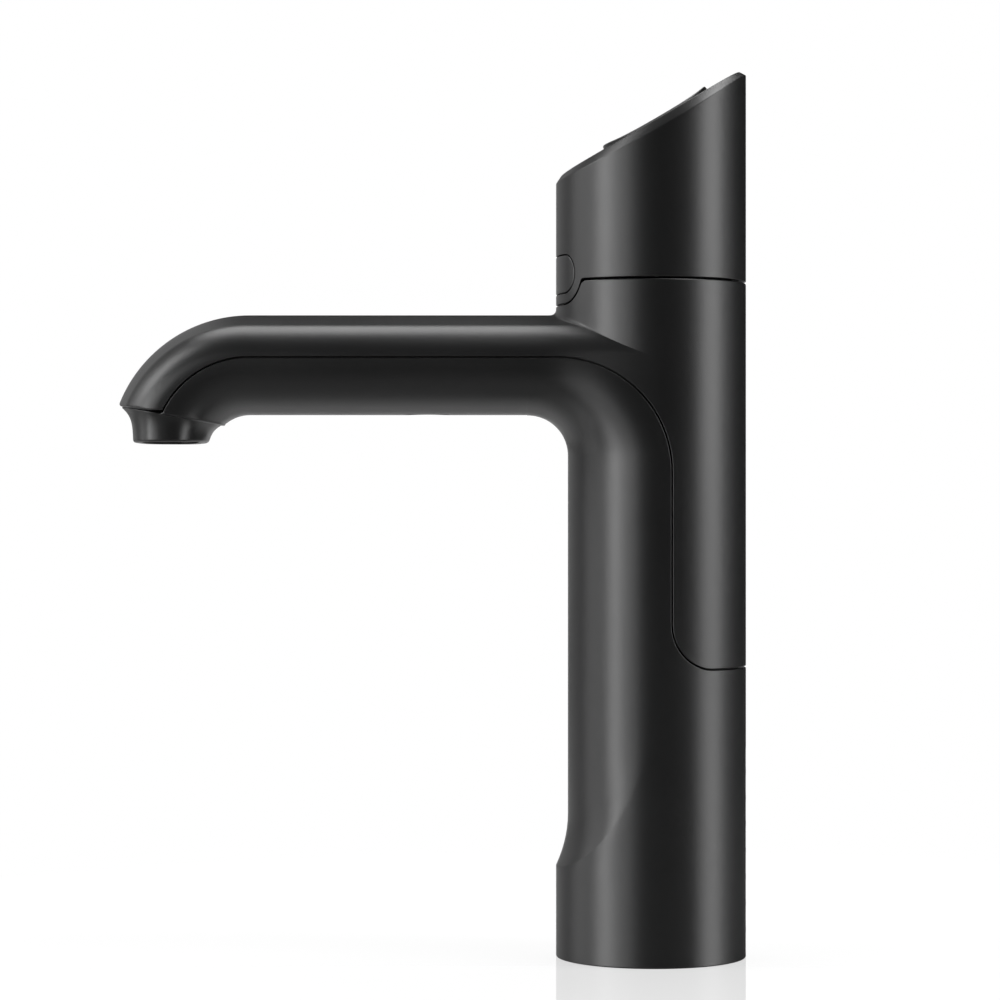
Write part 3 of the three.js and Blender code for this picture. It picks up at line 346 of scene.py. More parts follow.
def arc(centre, radius, start, end, count):
    turns = np.linspace(start, end, count)
    return joined(centre[0] + radius * np.cos(turns), centre[1] + radius * np.sin(turns))


def circleOf(radius, centre, count=meshing["circle"]):
    return arc(centre, radius, 0, 2 * pi, count + 1)[:-1]


def gridPoints(acrosses, ups):
    return np.array([(x, y) for x in acrosses for y in ups])


def sidesOf(outline):
    return zip(outline, np.roll(outline, -1, axis=0))


def insideOutline(points, outline):
    inside = np.zeros(len(points), bool)
    for (x0, y0), (x1, y1) in sidesOf(outline):
        if y0 != y1:
            crosses = (y0 > points[:, 1]) != (y1 > points[:, 1])
            inside ^= crosses & (points[:, 0] < (x1 - x0) * (points[:, 1] - y0) / (y1 - y0) + x0)
    return inside


def distanceTo(points, outline):
    nearest = np.full(len(points), np.inf)
    for start, end in sidesOf(outline):
        way = end - start
        share = np.clip(((points - start) @ way) / max(way @ way, tiny), 0, 1)
        nearest = np.minimum(nearest, np.linalg.norm(points - start - share[:, None] * way, axis=1))
    return nearest


# Fills a flat outline with triangles, round its holes and through the inner points.
def fillFlat(outline, holes, inner, margin):
    inner = np.asarray(inner)
    keep = insideOutline(inner, outline) & (distanceTo(inner, outline) > margin)
    for hole in holes:
        keep &= ~insideOutline(inner, hole) & (distanceTo(inner, hole) > margin)
    points, edges = [], []
    for ring in [outline, *holes]:
        start = len(points)
        points.extend(ring.tolist())
        edges.extend((start + i, start + (i + 1) % len(ring)) for i in range(len(ring)))
    points.extend(inner[keep].tolist())
    found, _, triangles, *_ = delaunay_2d_cdt([Vector(p) for p in points], edges, [], 0, 1e-6)
    found = np.array([tuple(p) for p in found])
    triangles = np.array([t for t in triangles if len(t) == 3])
    middles = found[triangles].mean(axis=1)
    good = insideOutline(middles, outline)
    for hole in holes:
        good &= ~insideOutline(middles, hole)
    return found, triangles[good]


class Skin:
    def __init__(self):
        self.points = []
        self.faces = []

    def patch(self, points, faces):
        start = len(self.points)
        self.points.extend(tuple(p) for p in points)
        self.faces.extend(tuple(start + i for i in face) for face in faces)

    def grid(self, rows, closed=False):  # rows of equal length, wound round when closed
        count = len(rows[0])
        faces = []
        for k in range(len(rows) - 1):
            for i in range(count if closed else count - 1):
                a, b = k * count + i, k * count + (i + 1) % count
                faces.append((a, b, b + count, a + count))
        self.patch([p for row in rows for p in row], faces)

    def fill(self, place, outline, holes, inner, margin):  # place puts the filled outline in the room
        points, faces = fillFlat(outline, holes, inner, margin)
        self.patch(place(*points.T), faces)


def unit(ways):
    return ways / (np.linalg.norm(ways, axis=1)[:, None] + tiny)


def valuesAt(points, value):  # a number for each point, from one number or a function of the place
    return np.array([value(p) if callable(value) else value for p in points])[:, None]


# Joins a skin's patches, gives it rounded rims and an inner side, and makes it one closed piece.
# toward is a direction that the surface faces at the point nearest to near.
def makeShell(name, skin, depth, rim, near, toward, look):
    bm = bmesh.new()
    corners = [bm.verts.new(Vector(p) * mm) for p in skin.points]
    for face in skin.faces:
        if len({tuple(round(c, 5) for c in skin.points[i]) for i in face}) > 2:
            bm.faces.new([corners[i] for i in face])
    bmesh.ops.remove_doubles(bm, verts=bm.verts, dist=meshing["weld"] * mm)
    bmesh.ops.dissolve_degenerate(bm, dist=meshing["weld"] * mm, edges=bm.edges)
    bmesh.ops.delete(bm, geom=[v for v in bm.verts if not v.link_faces], context="VERTS")
    bmesh.ops.recalc_face_normals(bm, faces=bm.faces)
    bm.normal_update()
    closest = min(bm.verts, key=lambda v: (v.co - Vector(near) * mm).length)
    if closest.normal.dot(Vector(toward)) < 0:
        bmesh.ops.reverse_faces(bm, faces=bm.faces)
        bm.normal_update()
    bm.verts.index_update()
    base = np.array([tuple(v.co) for v in bm.verts]) / mm
    normals = np.array([tuple(v.normal) for v in bm.verts])
    faces = [[v.index for v in face.verts] for face in bm.faces]
    edges = [(e.link_loops[0].vert.index, e.link_loops[0].link_loop_next.vert.index)
             for e in bm.edges if e.is_boundary]
    bm.free()

    # each rim point turns from the outer side to straight out, and the wall's inner side starts there
    away = np.zeros_like(base)
    for a, b in edges:
        side = np.cross(base[b] - base[a], normals[a] + normals[b])
        side /= np.linalg.norm(side) + tiny
        away[[a, b]] += side
    rimPoints = sorted({i for edge in edges for i in edge})
    place = {vertex: k for k, vertex in enumerate(rimPoints)}
    out, up = unit(away[rimPoints]), normals[rimPoints]
    radii = valuesAt(base[rimPoints], rim)
    points, rings = [base], [rimPoints]
    count = len(base)
    turns = np.linspace(0, pi / 2, meshing["rimSteps"] + 1)
    for turn in turns[1:]:
        points.append(base[rimPoints] + radii * (sin(turn) * out - (1 - cos(turn)) * up))
        rings.append(range(count, count + len(rimPoints)))
        count += len(rimPoints)
    inner = base - valuesAt(base, depth) * normals
    inner[rimPoints] += radii * out
    points.append(inner)

    allFaces, allNormals = [], []
    for face in faces:
        allFaces.append(face)
        allNormals.extend(normals[face])
        allFaces.append([count + i for i in reversed(face)])
        allNormals.extend(-normals[face[::-1]])
    for a, b in edges:
        i, j = place[a], place[b]
        for k in range(meshing["rimSteps"]):
            allFaces.append([rings[k][j], rings[k][i], rings[k + 1][i], rings[k + 1][j]])
            for turn, corner in ((turns[k], j), (turns[k], i), (turns[k + 1], i), (turns[k + 1], j)):
                allNormals.append(cos(turn) * up[corner] + sin(turn) * out[corner])
        allFaces.append([rings[-1][j], rings[-1][i], count + a, count + b])
        allNormals.extend((out[j], out[i], out[i], out[j]))

    mesh = bpy.data.meshes.new(name)
    mesh.from_pydata((np.vstack(points) * mm).tolist(), [], allFaces)
    mesh.materials.append(looks[look])
    mesh.shade_smooth()
    mesh.normals_split_custom_set([tuple(n) for n in allNormals])
    piece = addObject(name, mesh)
    return piece


# Forms shared by the body, the cover and the head.
column = {
    "radius": 28.0,
    "neckFront": 24.5,  # half depth of the neck's set-back front
    "creaseHeight": 26.8,  # where the neck's flare meets the base
    "creaseSlope": 0.28, "creaseCurve": 0.036, "flareHeight": 15.3,
    "top": 198.3,  # top of the cover's ring
    "aroundSteps": 144,
}
arm = {
    "seam": 175.7,  # height of the side seam
    "upper": 13.4,  # arm above the seam
    "lower": 16.0,  # arm below it
    "half": 25.0,
    "flareStart": -32.0,  # from here the arm widens to the column
    "squareness": 2.5, "bendY": -118.4, "bendZ": 147.8, "bendSteps": 30,
    "filletY": -36.4,  # inner corner between arm and neck
    "filletZ": 147.7, "filletRadius": 11.9, "columns": 121,
}
crown = {
    "crease": 18.0,  # from the arm's middle to the soft crease along its top
    "soft": 1.0,
    "bow": 0.4,  # how round the crown is: a small number makes two flat slopes
    "sideHalf": 26.9, "sideUp": 14.12, "sideSteps": 120, "topSteps": 80, "softSteps": 9,
}
seam = {
    "half": 0.25,  # half of the shadow joint
    "arcY": -28.2, "arcZ": 142.6, "arcRadius": 33.1, "arcSteps": 16, "dropSteps": 20,
    "corner": 13.0, "cornerSteps": 12, "back": 85.6,
    "tipShrink": 1.75,  # the seam moves this much towards the bend's centre at the tip
    "rim": 0.2,
}
seamRim = seam["half"] + seam["rim"]  # from the middle of the joint to a flat side
tip = {
    "cutY": -156.1,  # the arm ends on an oblique cut through this place
    "cutZ": 162.1, "cutSlope": -0.1739,
    "turns": (0.3, 1.5),  # the bend ends between these turns
    "rim": 0.75,  # rounding of the cover's edge over the outlet
    "rimLead": 4.0,
    "shelf": 1.3,  # step from the arm's skin in to the collar
    "lip": 0.45,
}


def armHalf(y):
    share = np.clip((y - arm["flareStart"]) / (0 - arm["flareStart"]), 0, 1)
    return arm["half"] + (column["radius"] - arm["half"]) * share * share * (3 - 2 * share)


# Top section of the arm from the right seam over to the left one: (across, up from the seam).
# Each side is part of an ellipse up to a soft crease, and a flatter crown lies between the creases.
def upperSection(edge):
    sideHalf, sideUp, crease = crown["sideHalf"], crown["sideUp"], crown["crease"]
    middle = arm["half"] - sideHalf
    first, last = asin(max(edge, 0) / sideUp), acos((crease - middle) / sideHalf)
    turns = np.linspace(first, last, crown["sideSteps"])
    side = joined(middle + sideHalf * np.cos(turns), sideUp * np.sin(turns))
    corner = side[-1]
    across = np.linspace(crease, 0, crown["topSteps"])
    bow = np.hypot(across / crease, crown["bow"]) - crown["bow"]
    top = joined(across, arm["upper"] - (arm["upper"] - corner[1]) * bow / bow[0])
    side, top = (part[np.linalg.norm(part - corner, axis=1) > crown["soft"]] for part in (side, top))
    soft = bowed(side[-1], corner, top[0], np.linspace(0, 1, crown["softSteps"])[1:-1, None])
    right = np.vstack([side, soft, top])
    if edge < 0:
        right = np.vstack([(arm["half"], edge), right])
    return resample(np.vstack([right, right[-2::-1] * (-1, 1)]), arm["columns"])


# Half of a squared circle in shares of its width and depth, from right to left.
def squaredHalf(squareness, start=0.0):
    turns = np.linspace(start, pi - start, meshing["curve"])
    power = 2 / squareness
    return np.sign(np.cos(turns)) * np.abs(np.cos(turns)) ** power, np.abs(np.sin(turns)) ** power


# Lower section of the arm, the same way round underneath.
def lowerSection(half, edge, depth=arm["lower"]):
    start = asin(min(1, (max(-edge, 0) / depth) ** (arm["squareness"] / 2)))
    across, down = squaredHalf(arm["squareness"], start)
    return resample(joined(half * across, -depth * down), arm["columns"])


def cutLevel(y, rise):
    return tip["cutZ"] + tip["cutSlope"] * (y - tip["cutY"]) + rise


# Point of the tip bend: section column i at a turn past the vertical.
def bendPoint(section, i, turn):
    across, up = section(turn)[i]
    reach = arm["seam"] - arm["bendZ"] + up
    return np.array([across, arm["bendY"] - reach * sin(turn), arm["bendZ"] + reach * cos(turn)])


# Rows of the tip bend from the straight arm to the oblique cut, or to a line above or below it.
def bendRows(section, rise, steps=arm["bendSteps"]):
    ends = []
    for i in range(arm["columns"]):
        low, high = tip["turns"]
        for _ in range(meshing["halvings"]):
            middle = (low + high) / 2
            point = bendPoint(section, i, middle)
            low, high = (middle, high) if point[2] > cutLevel(point[1], rise) else (low, middle)
        ends.append(low)
    return [np.array([bendPoint(section, i, end * k / steps) for i, end in enumerate(ends)])
            for k in range(steps + 1)]


def unrolled(s, z, radiusAt=None):  # s is measured round the column from its front
    turn = s / column["radius"]
    radius = radiusAt(turn, z) if radiusAt else column["radius"]
    return joined(radius * np.sin(turn), -radius * np.cos(turn), z)


def rolledOut(points):  # the way back, from places in the room
    return joined(column["radius"] * np.arctan2(points[:, 0], -points[:, 1]), points[:, 2])


# Seam on the column's right side in unrolled places, from height top down to the back seam's corner.
def seamEdge(side, top):
    def around(y):
        return column["radius"] * (pi / 2 + np.arcsin(y / column["radius"]))

    radius, corner = seam["arcRadius"] + side * seamRim, seam["corner"] - side * seamRim
    start = asin(min(1, (top - seam["arcZ"]) / radius))
    y, z = arc((seam["arcY"], seam["arcZ"]), radius, start, 0, seam["arcSteps"]).T
    upper = joined(around(y), z)
    turn = around(seam["arcY"] + seam["arcRadius"]) + seam["corner"], seam["back"] + seam["corner"]
    drop = joined(upper[-1, 0], np.linspace(seam["arcZ"], turn[1], seam["dropSteps"])[1:-1])
    return np.vstack([upper, drop, arc(turn, corner, pi, 1.5 * pi, seam["cornerSteps"])])


# Cover: arm top, bend, ring under the head and back of the column.
cover = {
    "wall": 2.4, "armSteps": 20, "rootStart": -44.0, "rootSteps": 22,
    "fillet": 2.0,  # radius where the arm's top meets the ring
    "filletSteps": 5,
    "sideLead": 2.5,  # the root's side starts this far in front of the seam's arc
    "sideSteps": 9, "ringRim": 0.5, "gridStart": 3.0, "gridStep": 3.2, "margin": 0.8,
    "tabRadius": 8.6, "tabGap": 0.5, "tabFillet": 1.2,
    "tabLead": 0.16,  # turn at which the fillet takes over
    "tabSteps": 16, "leadSteps": 6,
}
lock = {
    "height": 200.6, "radius": 5.5,
    "straight": 11.5,  # half of the capsule's straight length
    "depth": 4.3, "gap": 0.3, "rim": 0.35,
    "wall": 0.5,  # the head's wall round the button
    "clear": 2.0, "steps": 18, "gridHalf": 5.4, "gridStep": 1.2, "margin": 0.5,
}


def lockFlat():
    return np.linspace(lock["straight"], -lock["straight"], lock["steps"])[1:-1]


# Lower outline of a capsule round the lock button, right to left, led into a level edge by fillets.
def tabOutline(radius, level):
    rise = level - lock["height"]
    reach = lock["straight"] + sqrt(radius ** 2 - rise ** 2)
    start = asin(rise / radius) - cover["tabLead"]
    rounded = arc((lock["straight"], lock["height"]), radius, start, -pi / 2, cover["tabSteps"])
    first, corner = np.array([(reach + cover["tabFillet"], level), (reach, level)])
    lead = bowed(first, corner, rounded[0], np.linspace(0, 1, cover["leadSteps"])[:-1, None])
    right = np.vstack([lead, rounded])
    return np.vstack([right, joined(lockFlat(), lock["height"] - radius), right[::-1] * (-1, 1)])


def capsule(radius):
    rounded = arc((lock["straight"], 0), radius, -pi / 2, pi / 2, lock["steps"])
    half = np.vstack([rounded, joined(lockFlat(), radius)])
    return np.vstack([half, -half]) + (0, lock["height"])


def makeCover():
    radius = column["radius"]
    cutRise = seam["half"] + tip["rim"]
    skin = Skin()

    def section(turn):
        return upperSection(seamRim - seam["tipShrink"] * sin(turn))

    flat = section(0)
    share = flat[:, 0] / arm["half"]
    height = arm["seam"] + flat[:, 1]
    rows = bendRows(section, cutRise)[::-1]
    tipCorner = rows[0][0]
    rows += [joined(flat[:, 0], y, height)
             for y in np.linspace(arm["bendY"], cover["rootStart"], cover["armSteps"])[1:-1]]

    # each line along the arm runs to where it meets the ring, and turns up there in a small fillet
    meet = np.full(len(flat), -radius)
    for _ in range(meshing["settling"]):
        meet = (meet - np.sqrt(np.maximum(radius ** 2 - (armHalf(meet) * share) ** 2, 0))) / 2
    rounding = cover["fillet"] * ((flat[:, 1] - seamRim) / (arm["upper"] - seamRim)) ** 2
    rootRows = []
    for t in np.linspace(0, 1, cover["rootSteps"]):
        y = cover["rootStart"] + (meet - rounding - cover["rootStart"]) * t
        rootRows.append(joined(armHalf(y) * share, y, height))
    corner = joined(armHalf(meet) * share, meet, height)
    raised = corner + rounding[:, None] * (0, 0, 1)
    filletRows = [bowed(rootRows[-1], corner, raised, t)
                  for t in np.linspace(0, 1, cover["filletSteps"] + 1)[1:]]
    skin.grid(rows + rootRows + filletRows)

    # side of the arm's root, down to the arc of the seam
    sideRows = []
    for x, y, z in (row[0] for row in rootRows):
        if y > seam["arcY"] - cover["sideLead"]:
            past = max(y - seam["arcY"], 0)
            bottom = seam["arcZ"] + sqrt((seam["arcRadius"] + seamRim) ** 2 - past ** 2)
            sideRows.append(joined(x, y, np.linspace(z, min(bottom, z), cover["sideSteps"])))
    skin.grid(sideRows)
    skin.grid([row * (-1, 1, 1) for row in sideRows])

    # ring and back, drawn flat and wrapped round the column
    ringFoot = rolledOut(raised)
    drop = joined(ringFoot[0, 0], sideRows[-1][:, 2])
    seamLine = seamEdge(1, drop[-1, 1])
    half = radius * pi
    bottom = seamLine[-1][1]
    top = column["top"] - cover["ringRim"]
    foot = straightLine(seamLine[-1], (half, bottom), meshing["level"])
    back = straightLine((half, bottom), (half, top), meshing["upright"])
    tab = tabOutline(cover["tabRadius"] + cover["tabGap"] + seam["rim"], top)
    rim = straightLine((half, top), tab[0], meshing["edge"])
    right = np.vstack([drop[1:], seamLine[1:], foot[1:], back[1:], rim[1:-1]])
    outline = np.vstack([ringFoot[::-1], right, tab, right[::-1] * (-1, 1)])
    inner = gridPoints(np.linspace(-half, half, column["aroundSteps"] + 1),
                       np.arange(bottom + cover["gridStart"], top, cover["gridStep"]))
    skin.fill(unrolled, outline, [], inner, cover["margin"])

    def coverRim(p):
        if p[2] > top - meshing["onEdge"]:
            return cover["ringRim"]
        if p[1] < arm["bendY"] and abs(p[2] - cutLevel(p[1], cutRise)) < meshing["onEdge"]:
            away = np.linalg.norm(np.abs(p) - np.abs(tipCorner))
            return seam["rim"] + (tip["rim"] - seam["rim"]) * min(1, away / tip["rimLead"])
        return seam["rim"]

    piece = makeShell("cover", skin, cover["wall"], coverRim, (0, 28, 150), (0, 1, 0),
                      "satinBlack")
    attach(piece, "tap")
    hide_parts("rear_top_cover")


# Body: base, set-back neck, inner corner, underside of the arm and outlet collar.
body = {
    "wall": 2.4, "footRim": 0.4, "underSteps": 30, "underMargin": 0.5, "plugHole": 6.8,
    "plugY": -66.0, "cornerSteps": 24,
    "creaseNear": 0.3,  # rows this far below and above the crease
    "baseSteps": 9, "flareSteps": 8, "neckSteps": 26, "margin": 0.6, "outletBottom": 151.3,
    "outletRim": 0.9, "outletHalf": 22.5, "outletFront": -152.3, "outletBack": -130.8,
    "outletSquareness": 2.6, "collarSteps": 16,
    "collarEase": 1.3,  # the rings are closer together under the shelf
    "frontFlare": 0.85,  # how much of the collar's spread is a curve, in front and at the rear
    "rearFlare": 0.5, "flarePower": 3.5,
}


def creaseAt(turn):
    back = column["radius"] * (1 - np.maximum(0, np.cos(turn)))
    return column["creaseHeight"] + column["creaseSlope"] * back + column["creaseCurve"] * back * back


# Radius of the column at a turn from its front: round at the base, set back in front above the flare.
def bodyRadius(turn, z):
    rise = np.clip((z - creaseAt(turn)) / column["flareHeight"], 0, 1)
    neck = 1 / np.hypot(np.sin(turn) / column["radius"], np.cos(turn) / column["neckFront"])
    setBack = (neck - column["radius"]) * (1 - (1 - rise) ** 2)
    return column["radius"] + np.where(np.cos(turn) > 0, setBack, 0)


# Rear or front half of the outlet's oval mouth, from right to left at the rear and back in front.
def mouthHalf(rear):
    middle = (body["outletFront"] + body["outletBack"]) / 2
    deep = (body["outletBack"] - body["outletFront"]) / 2
    across, along = squaredHalf(body["outletSquareness"])
    half = joined(body["outletHalf"] * across, middle + (deep if rear else -deep) * along)
    return resample(half if rear else half[::-1], arm["columns"])


# Level directions that point out of a closed ring.
def ringWays(ring):
    along = np.roll(ring, -1, axis=0) - np.roll(ring, 1, axis=0)
    ways = unit(joined(along[:, 1], -along[:, 0], 0))
    return ways * np.sign(np.sum(ways * (ring - ring.mean(axis=0))))


def makeBody():
    radius = column["radius"]
    half = radius * pi
    skin = Skin()

    def section(turn):
        return lowerSection(arm["half"], -seamRim - seam["tipShrink"] * sin(turn))

    bend = bendRows(section, tip["lip"] - seam["half"])
    skin.grid(bend)

    # straight underside, drawn flat so that the plug's hole can be left out
    flat = section(0)
    along = lengthAlong(flat)
    stations = np.linspace(arm["bendY"], arm["filletY"], body["underSteps"])
    outline = np.vstack([joined(along, stations[0]), joined(along[-1], stations[1:-1]),
                         joined(along[::-1], stations[-1]), joined(0, stations[-2:0:-1])])
    hole = circleOf(body["plugHole"] + seam["rim"], (0, body["plugY"]), meshing["smallCircle"])
    hole[:, 0] = np.interp(-hole[:, 0], -flat[:, 0], along)

    def underside(s, y):
        return joined(np.interp(s, along, flat[:, 0]), y, arm["seam"] + np.interp(s, along, flat[:, 1]))

    skin.fill(underside, outline, [hole], gridPoints(along[1:-1], stations[1:-1]), body["underMargin"])

    # inner corner: the section turns about the fillet's centre and becomes the neck's front
    fillet, arcRadius = arm["filletRadius"], seam["arcRadius"] - seamRim
    startY, startZ = seam["arcY"] - arm["filletY"], seam["arcZ"] - arm["filletZ"]

    def edgeReach(turn):  # from the fillet's centre out to the seam
        level = (arm["seam"] - seamRim - arm["filletZ"]) / max(cos(turn), tiny)
        if level * sin(turn) <= startY:
            return level
        toArc = startY * sin(turn) + startZ * cos(turn)
        return toArc + sqrt(toArc ** 2 + arcRadius ** 2 - startY ** 2 - startZ ** 2)

    neckReach = edgeReach(pi / 2)
    neckY = arm["filletY"] + neckReach
    neckEnd = half / 2 + radius * asin(neckY / radius)
    neckPlaces = np.linspace(neckEnd, -neckEnd, meshing["curve"])
    neckLine = resample(unrolled(neckPlaces, arm["filletZ"], bodyRadius), arm["columns"])
    neckShare = joined(neckLine[:, 0] / neckLine[0, 0], (neckY - neckLine[:, 1]) / (neckReach - fillet))
    cornerRows = []
    for turn in np.linspace(0, pi / 2, body["cornerSteps"]):
        reach = edgeReach(turn)
        y = arm["filletY"] + reach * sin(turn)
        wide = armHalf(y) if y < 0 else sqrt(radius ** 2 - y * y)
        armLine = lowerSection(wide, -seamRim, reach + seamRim - fillet)
        armShare = joined(armLine[:, 0] / wide, (-armLine[:, 1] - seamRim) / (reach - fillet))
        across, down = (armShare + (neckShare - armShare) * sin(turn) ** 2).T
        away = reach - (reach - fillet) * down
        cornerRows.append(joined(
            wide * across, arm["filletY"] + away * sin(turn), arm["filletZ"] + away * cos(turn)))
    skin.grid(cornerRows)

    # neck and base, drawn flat and wrapped round the column
    seamLine = seamEdge(-1, arm["filletZ"])
    level, foot = seamLine[-1][1], body["footRim"]
    shoulder = straightLine(seamLine[-1], (half, level), meshing["level"])
    back = straightLine((half, level), (half, foot), meshing["upright"])
    base = straightLine((half, foot), (-half, foot), half * 2 / column["aroundSteps"])
    right = np.vstack([seamLine[1:], shoulder[1:], back[1:-1]])
    outline = np.vstack([rolledOut(cornerRows[-1])[::-1], right, base, right[::-1] * (-1, 1)])
    inner = []
    for s in np.linspace(-half, half, column["aroundSteps"] + 1):
        crease = creaseAt(s / radius)
        flared = crease + column["flareHeight"]
        heights = [*np.linspace(foot, crease - body["creaseNear"], body["baseSteps"])[1:], crease,
                   crease + body["creaseNear"], *np.linspace(crease, flared, body["flareSteps"])[1:],
                   *np.linspace(flared, arm["filletZ"], body["neckSteps"])[1:-1]]
        inner.extend((s, z) for z in heights)
    skin.fill(lambda s, z: unrolled(s, z, bodyRadius), outline, [], inner, body["margin"])

    # collar: a step in from the arm's skin, and down to the oval mouth
    def coverSection(turn):
        return upperSection(-seamRim - seam["tipShrink"] * sin(turn))

    frontRow = bendRows(coverSection, -seamRim, 1)[-1][::-1]
    topRing = np.vstack([bend[-1], frontRow[1:-1]])
    ways = ringWays(topRing)
    shelf = topRing - ways * tip["shelf"]
    shelf[:, 2] = cutLevel(shelf[:, 1], -seamRim)
    underArm = (np.arange(len(topRing)) < arm["columns"])[:, None]
    rings = []
    for turn in np.linspace(0, pi / 2, meshing["rimSteps"] + 1):
        rounded = ways * tip["lip"] * (1 - cos(turn)) + (0, 0, tip["lip"] * sin(turn))
        rings.append(np.where(underArm, topRing - rounded, shelf))
    mouth = np.vstack([mouthHalf(True), mouthHalf(False)[1:-1]])
    mouthZ = body["outletBottom"] + body["outletRim"]
    rearShare = (mouth[:, 1:] - body["outletFront"]) / (body["outletBack"] - body["outletFront"])
    flare = body["frontFlare"] + (body["rearFlare"] - body["frontFlare"]) * np.clip(rearShare, 0, 1)
    for t in np.linspace(0, 1, body["collarSteps"]) ** body["collarEase"]:
        spread = flare * (1 - t) ** body["flarePower"] + (1 - flare) * (1 - t)
        plan = mouth + (shelf[:, :2] - mouth) * spread
        rings.append(joined(*plan.T, shelf[:, 2] + (mouthZ - shelf[:, 2]) * t))
    skin.grid(rings, closed=True)

    def bodyRim(p):
        if p[2] < foot + meshing["onEdge"]:
            return body["footRim"]
        if p[2] < mouthZ + meshing["onEdge"] and p[1] < arm["bendY"]:
            return body["outletRim"]
        return seam["rim"]

    piece = makeShell("body", skin, body["wall"], bodyRim, (0, -24.5, 100), (0, -1, 0),
                      "satinBlack")
    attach(piece, "tap")
    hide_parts("main_body")


makeCover()
makeBody()
print("cover and body made")


# Head: round wall, slanted face with a chamfered rim, tab and hole for the lock button.
head = {
    "bottom": 198.8,
    "face": 245.5,  # slanted face on the column's axis
    "slope": atan(0.5825), "wall": 2.8, "recess": 24.6, "recessDepth": 2.6, "recessWall": 0.6,
    "recessEdge": 1.5,  # the wall is this thin as far as here outside the recess
    "softEdge": 0.25, "rim": 0.2, "chamferWide": 1.65, "chamferDeep": 1.7,
    "frontWide": 0.25,  # it is this much narrower in front, and wider at the rear
    "frontDeep": 0.4,  # and this much shallower in front, and deeper at the rear
    "sideDrop": 2.9,  # extra depth of the chamfer at the sides
    "crown": 1.6,  # the slanted face falls this much to each side
    "crownReach": 26.0, "gridDrop": 5.0, "gridStep": 2.6, "margin": 0.7,
}
slopeCos, slopeSin, slopeRise = cos(head["slope"]), sin(head["slope"]), tan(head["slope"])


def crownDrop(x):
    return head["crown"] * (x / head["crownReach"]) ** 2


# From flat places on the slanted face to places in the room.
def onFace(x, y, z):
    return joined(
        x, y * slopeCos - z * slopeSin, head["face"] + y * slopeSin + z * slopeCos - crownDrop(x))


def slopePlace(p):  # the way back, across and along the slope
    return p[0], p[1] * slopeCos + (p[2] - head["face"]) * slopeSin


# Rows that round the edge between two rows of points through the row between them.
def softened(before, edge, after, size):
    start, end = (edge + unit(target - edge) * size for target in (before, after))
    return [bowed(start, edge, end, t) for t in (0, 0.25, 0.5, 0.75, 1)]


def makeHead():
    skin = Skin()
    radius = column["radius"]
    half = radius * pi
    around = np.linspace(-pi, pi, column["aroundSteps"] + 1)
    cosine = np.cos(around)
    drop = head["chamferDeep"] - head["frontDeep"] * cosine + head["sideDrop"] * np.sin(around) ** 2

    def faceRing(ringRadius, depth=0.0):
        across = ringRadius * np.sin(around)
        up = head["face"] - slopeRise * ringRadius * cosine - crownDrop(across)
        return joined(across, -ringRadius * cosine, up) + depth * np.array((0, slopeSin, -slopeCos))

    wallRing = unrolled(radius * around, head["face"] - slopeRise * radius * cosine - drop)
    edgeRing = faceRing(radius - head["chamferWide"] + head["frontWide"] * cosine)
    recessRing = faceRing(head["recess"])
    floorRing = faceRing(head["recess"], head["recessDepth"])
    rows = [*softened(wallRing - (0, 0, 1), wallRing, edgeRing, head["softEdge"]),
            *softened(wallRing, edgeRing, recessRing, head["softEdge"]),
            *softened(edgeRing, recessRing, floorRing, head["rim"]), floorRing]
    skin.grid([row[:-1] for row in rows], closed=True)

    # wall with the tab and the lock button's hole
    foot = head["bottom"] + head["rim"]
    top = joined(radius * around, rows[0][:, 2])
    tab = tabOutline(cover["tabRadius"] - head["rim"], foot)
    back = straightLine((half, top[-1, 1]), (half, foot), meshing["upright"])[1:-1]
    right = np.vstack([back, straightLine((half, foot), tab[0], meshing["edge"])[:-1]])
    outline = np.vstack([top, right, tab, right[::-1] * (-1, 1)])
    hole = capsule(lock["radius"] + lock["gap"] + head["rim"])
    inner = [(s, z) for s, end in top for z in np.arange(foot - head["gridDrop"], end, head["gridStep"])]
    skin.fill(unrolled, outline, [hole], inner, head["margin"])

    # the wall is thin round the lock button, which leaves room for it to slide in
    def headDepth(p):
        near = lock["radius"] + lock["clear"]
        if p[1] < 0 and abs(p[0]) < lock["straight"] + near and abs(p[2] - lock["height"]) < near:
            return lock["wall"]
        outside = hypot(p[0], p[1]) > head["recess"] + head["recessEdge"]
        return head["wall"] if outside else head["recessWall"]

    piece = makeShell("head", skin, headDepth, head["rim"], (0, 28, 230), (0, 1, 0),
                      "satinBlack")
    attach(piece, "tap")
    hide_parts("control_head")


def makeLockButton():
    skin = Skin()
    reach = lock["straight"] + lock["radius"]
    inner = gridPoints(np.arange(-reach, reach, lock["gridStep"]),
                       lock["height"] + np.arange(-lock["gridHalf"], lock["radius"], lock["gridStep"]))
    skin.fill(unrolled, capsule(lock["radius"] - lock["rim"]), [], inner, lock["margin"])
    piece = makeShell("lockButton", skin, lock["depth"], lock["rim"], (0, -28, 200), (0, -1, 0),
                      "buttonBlack")
    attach(piece, "lock_key")
    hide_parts("lock_button")


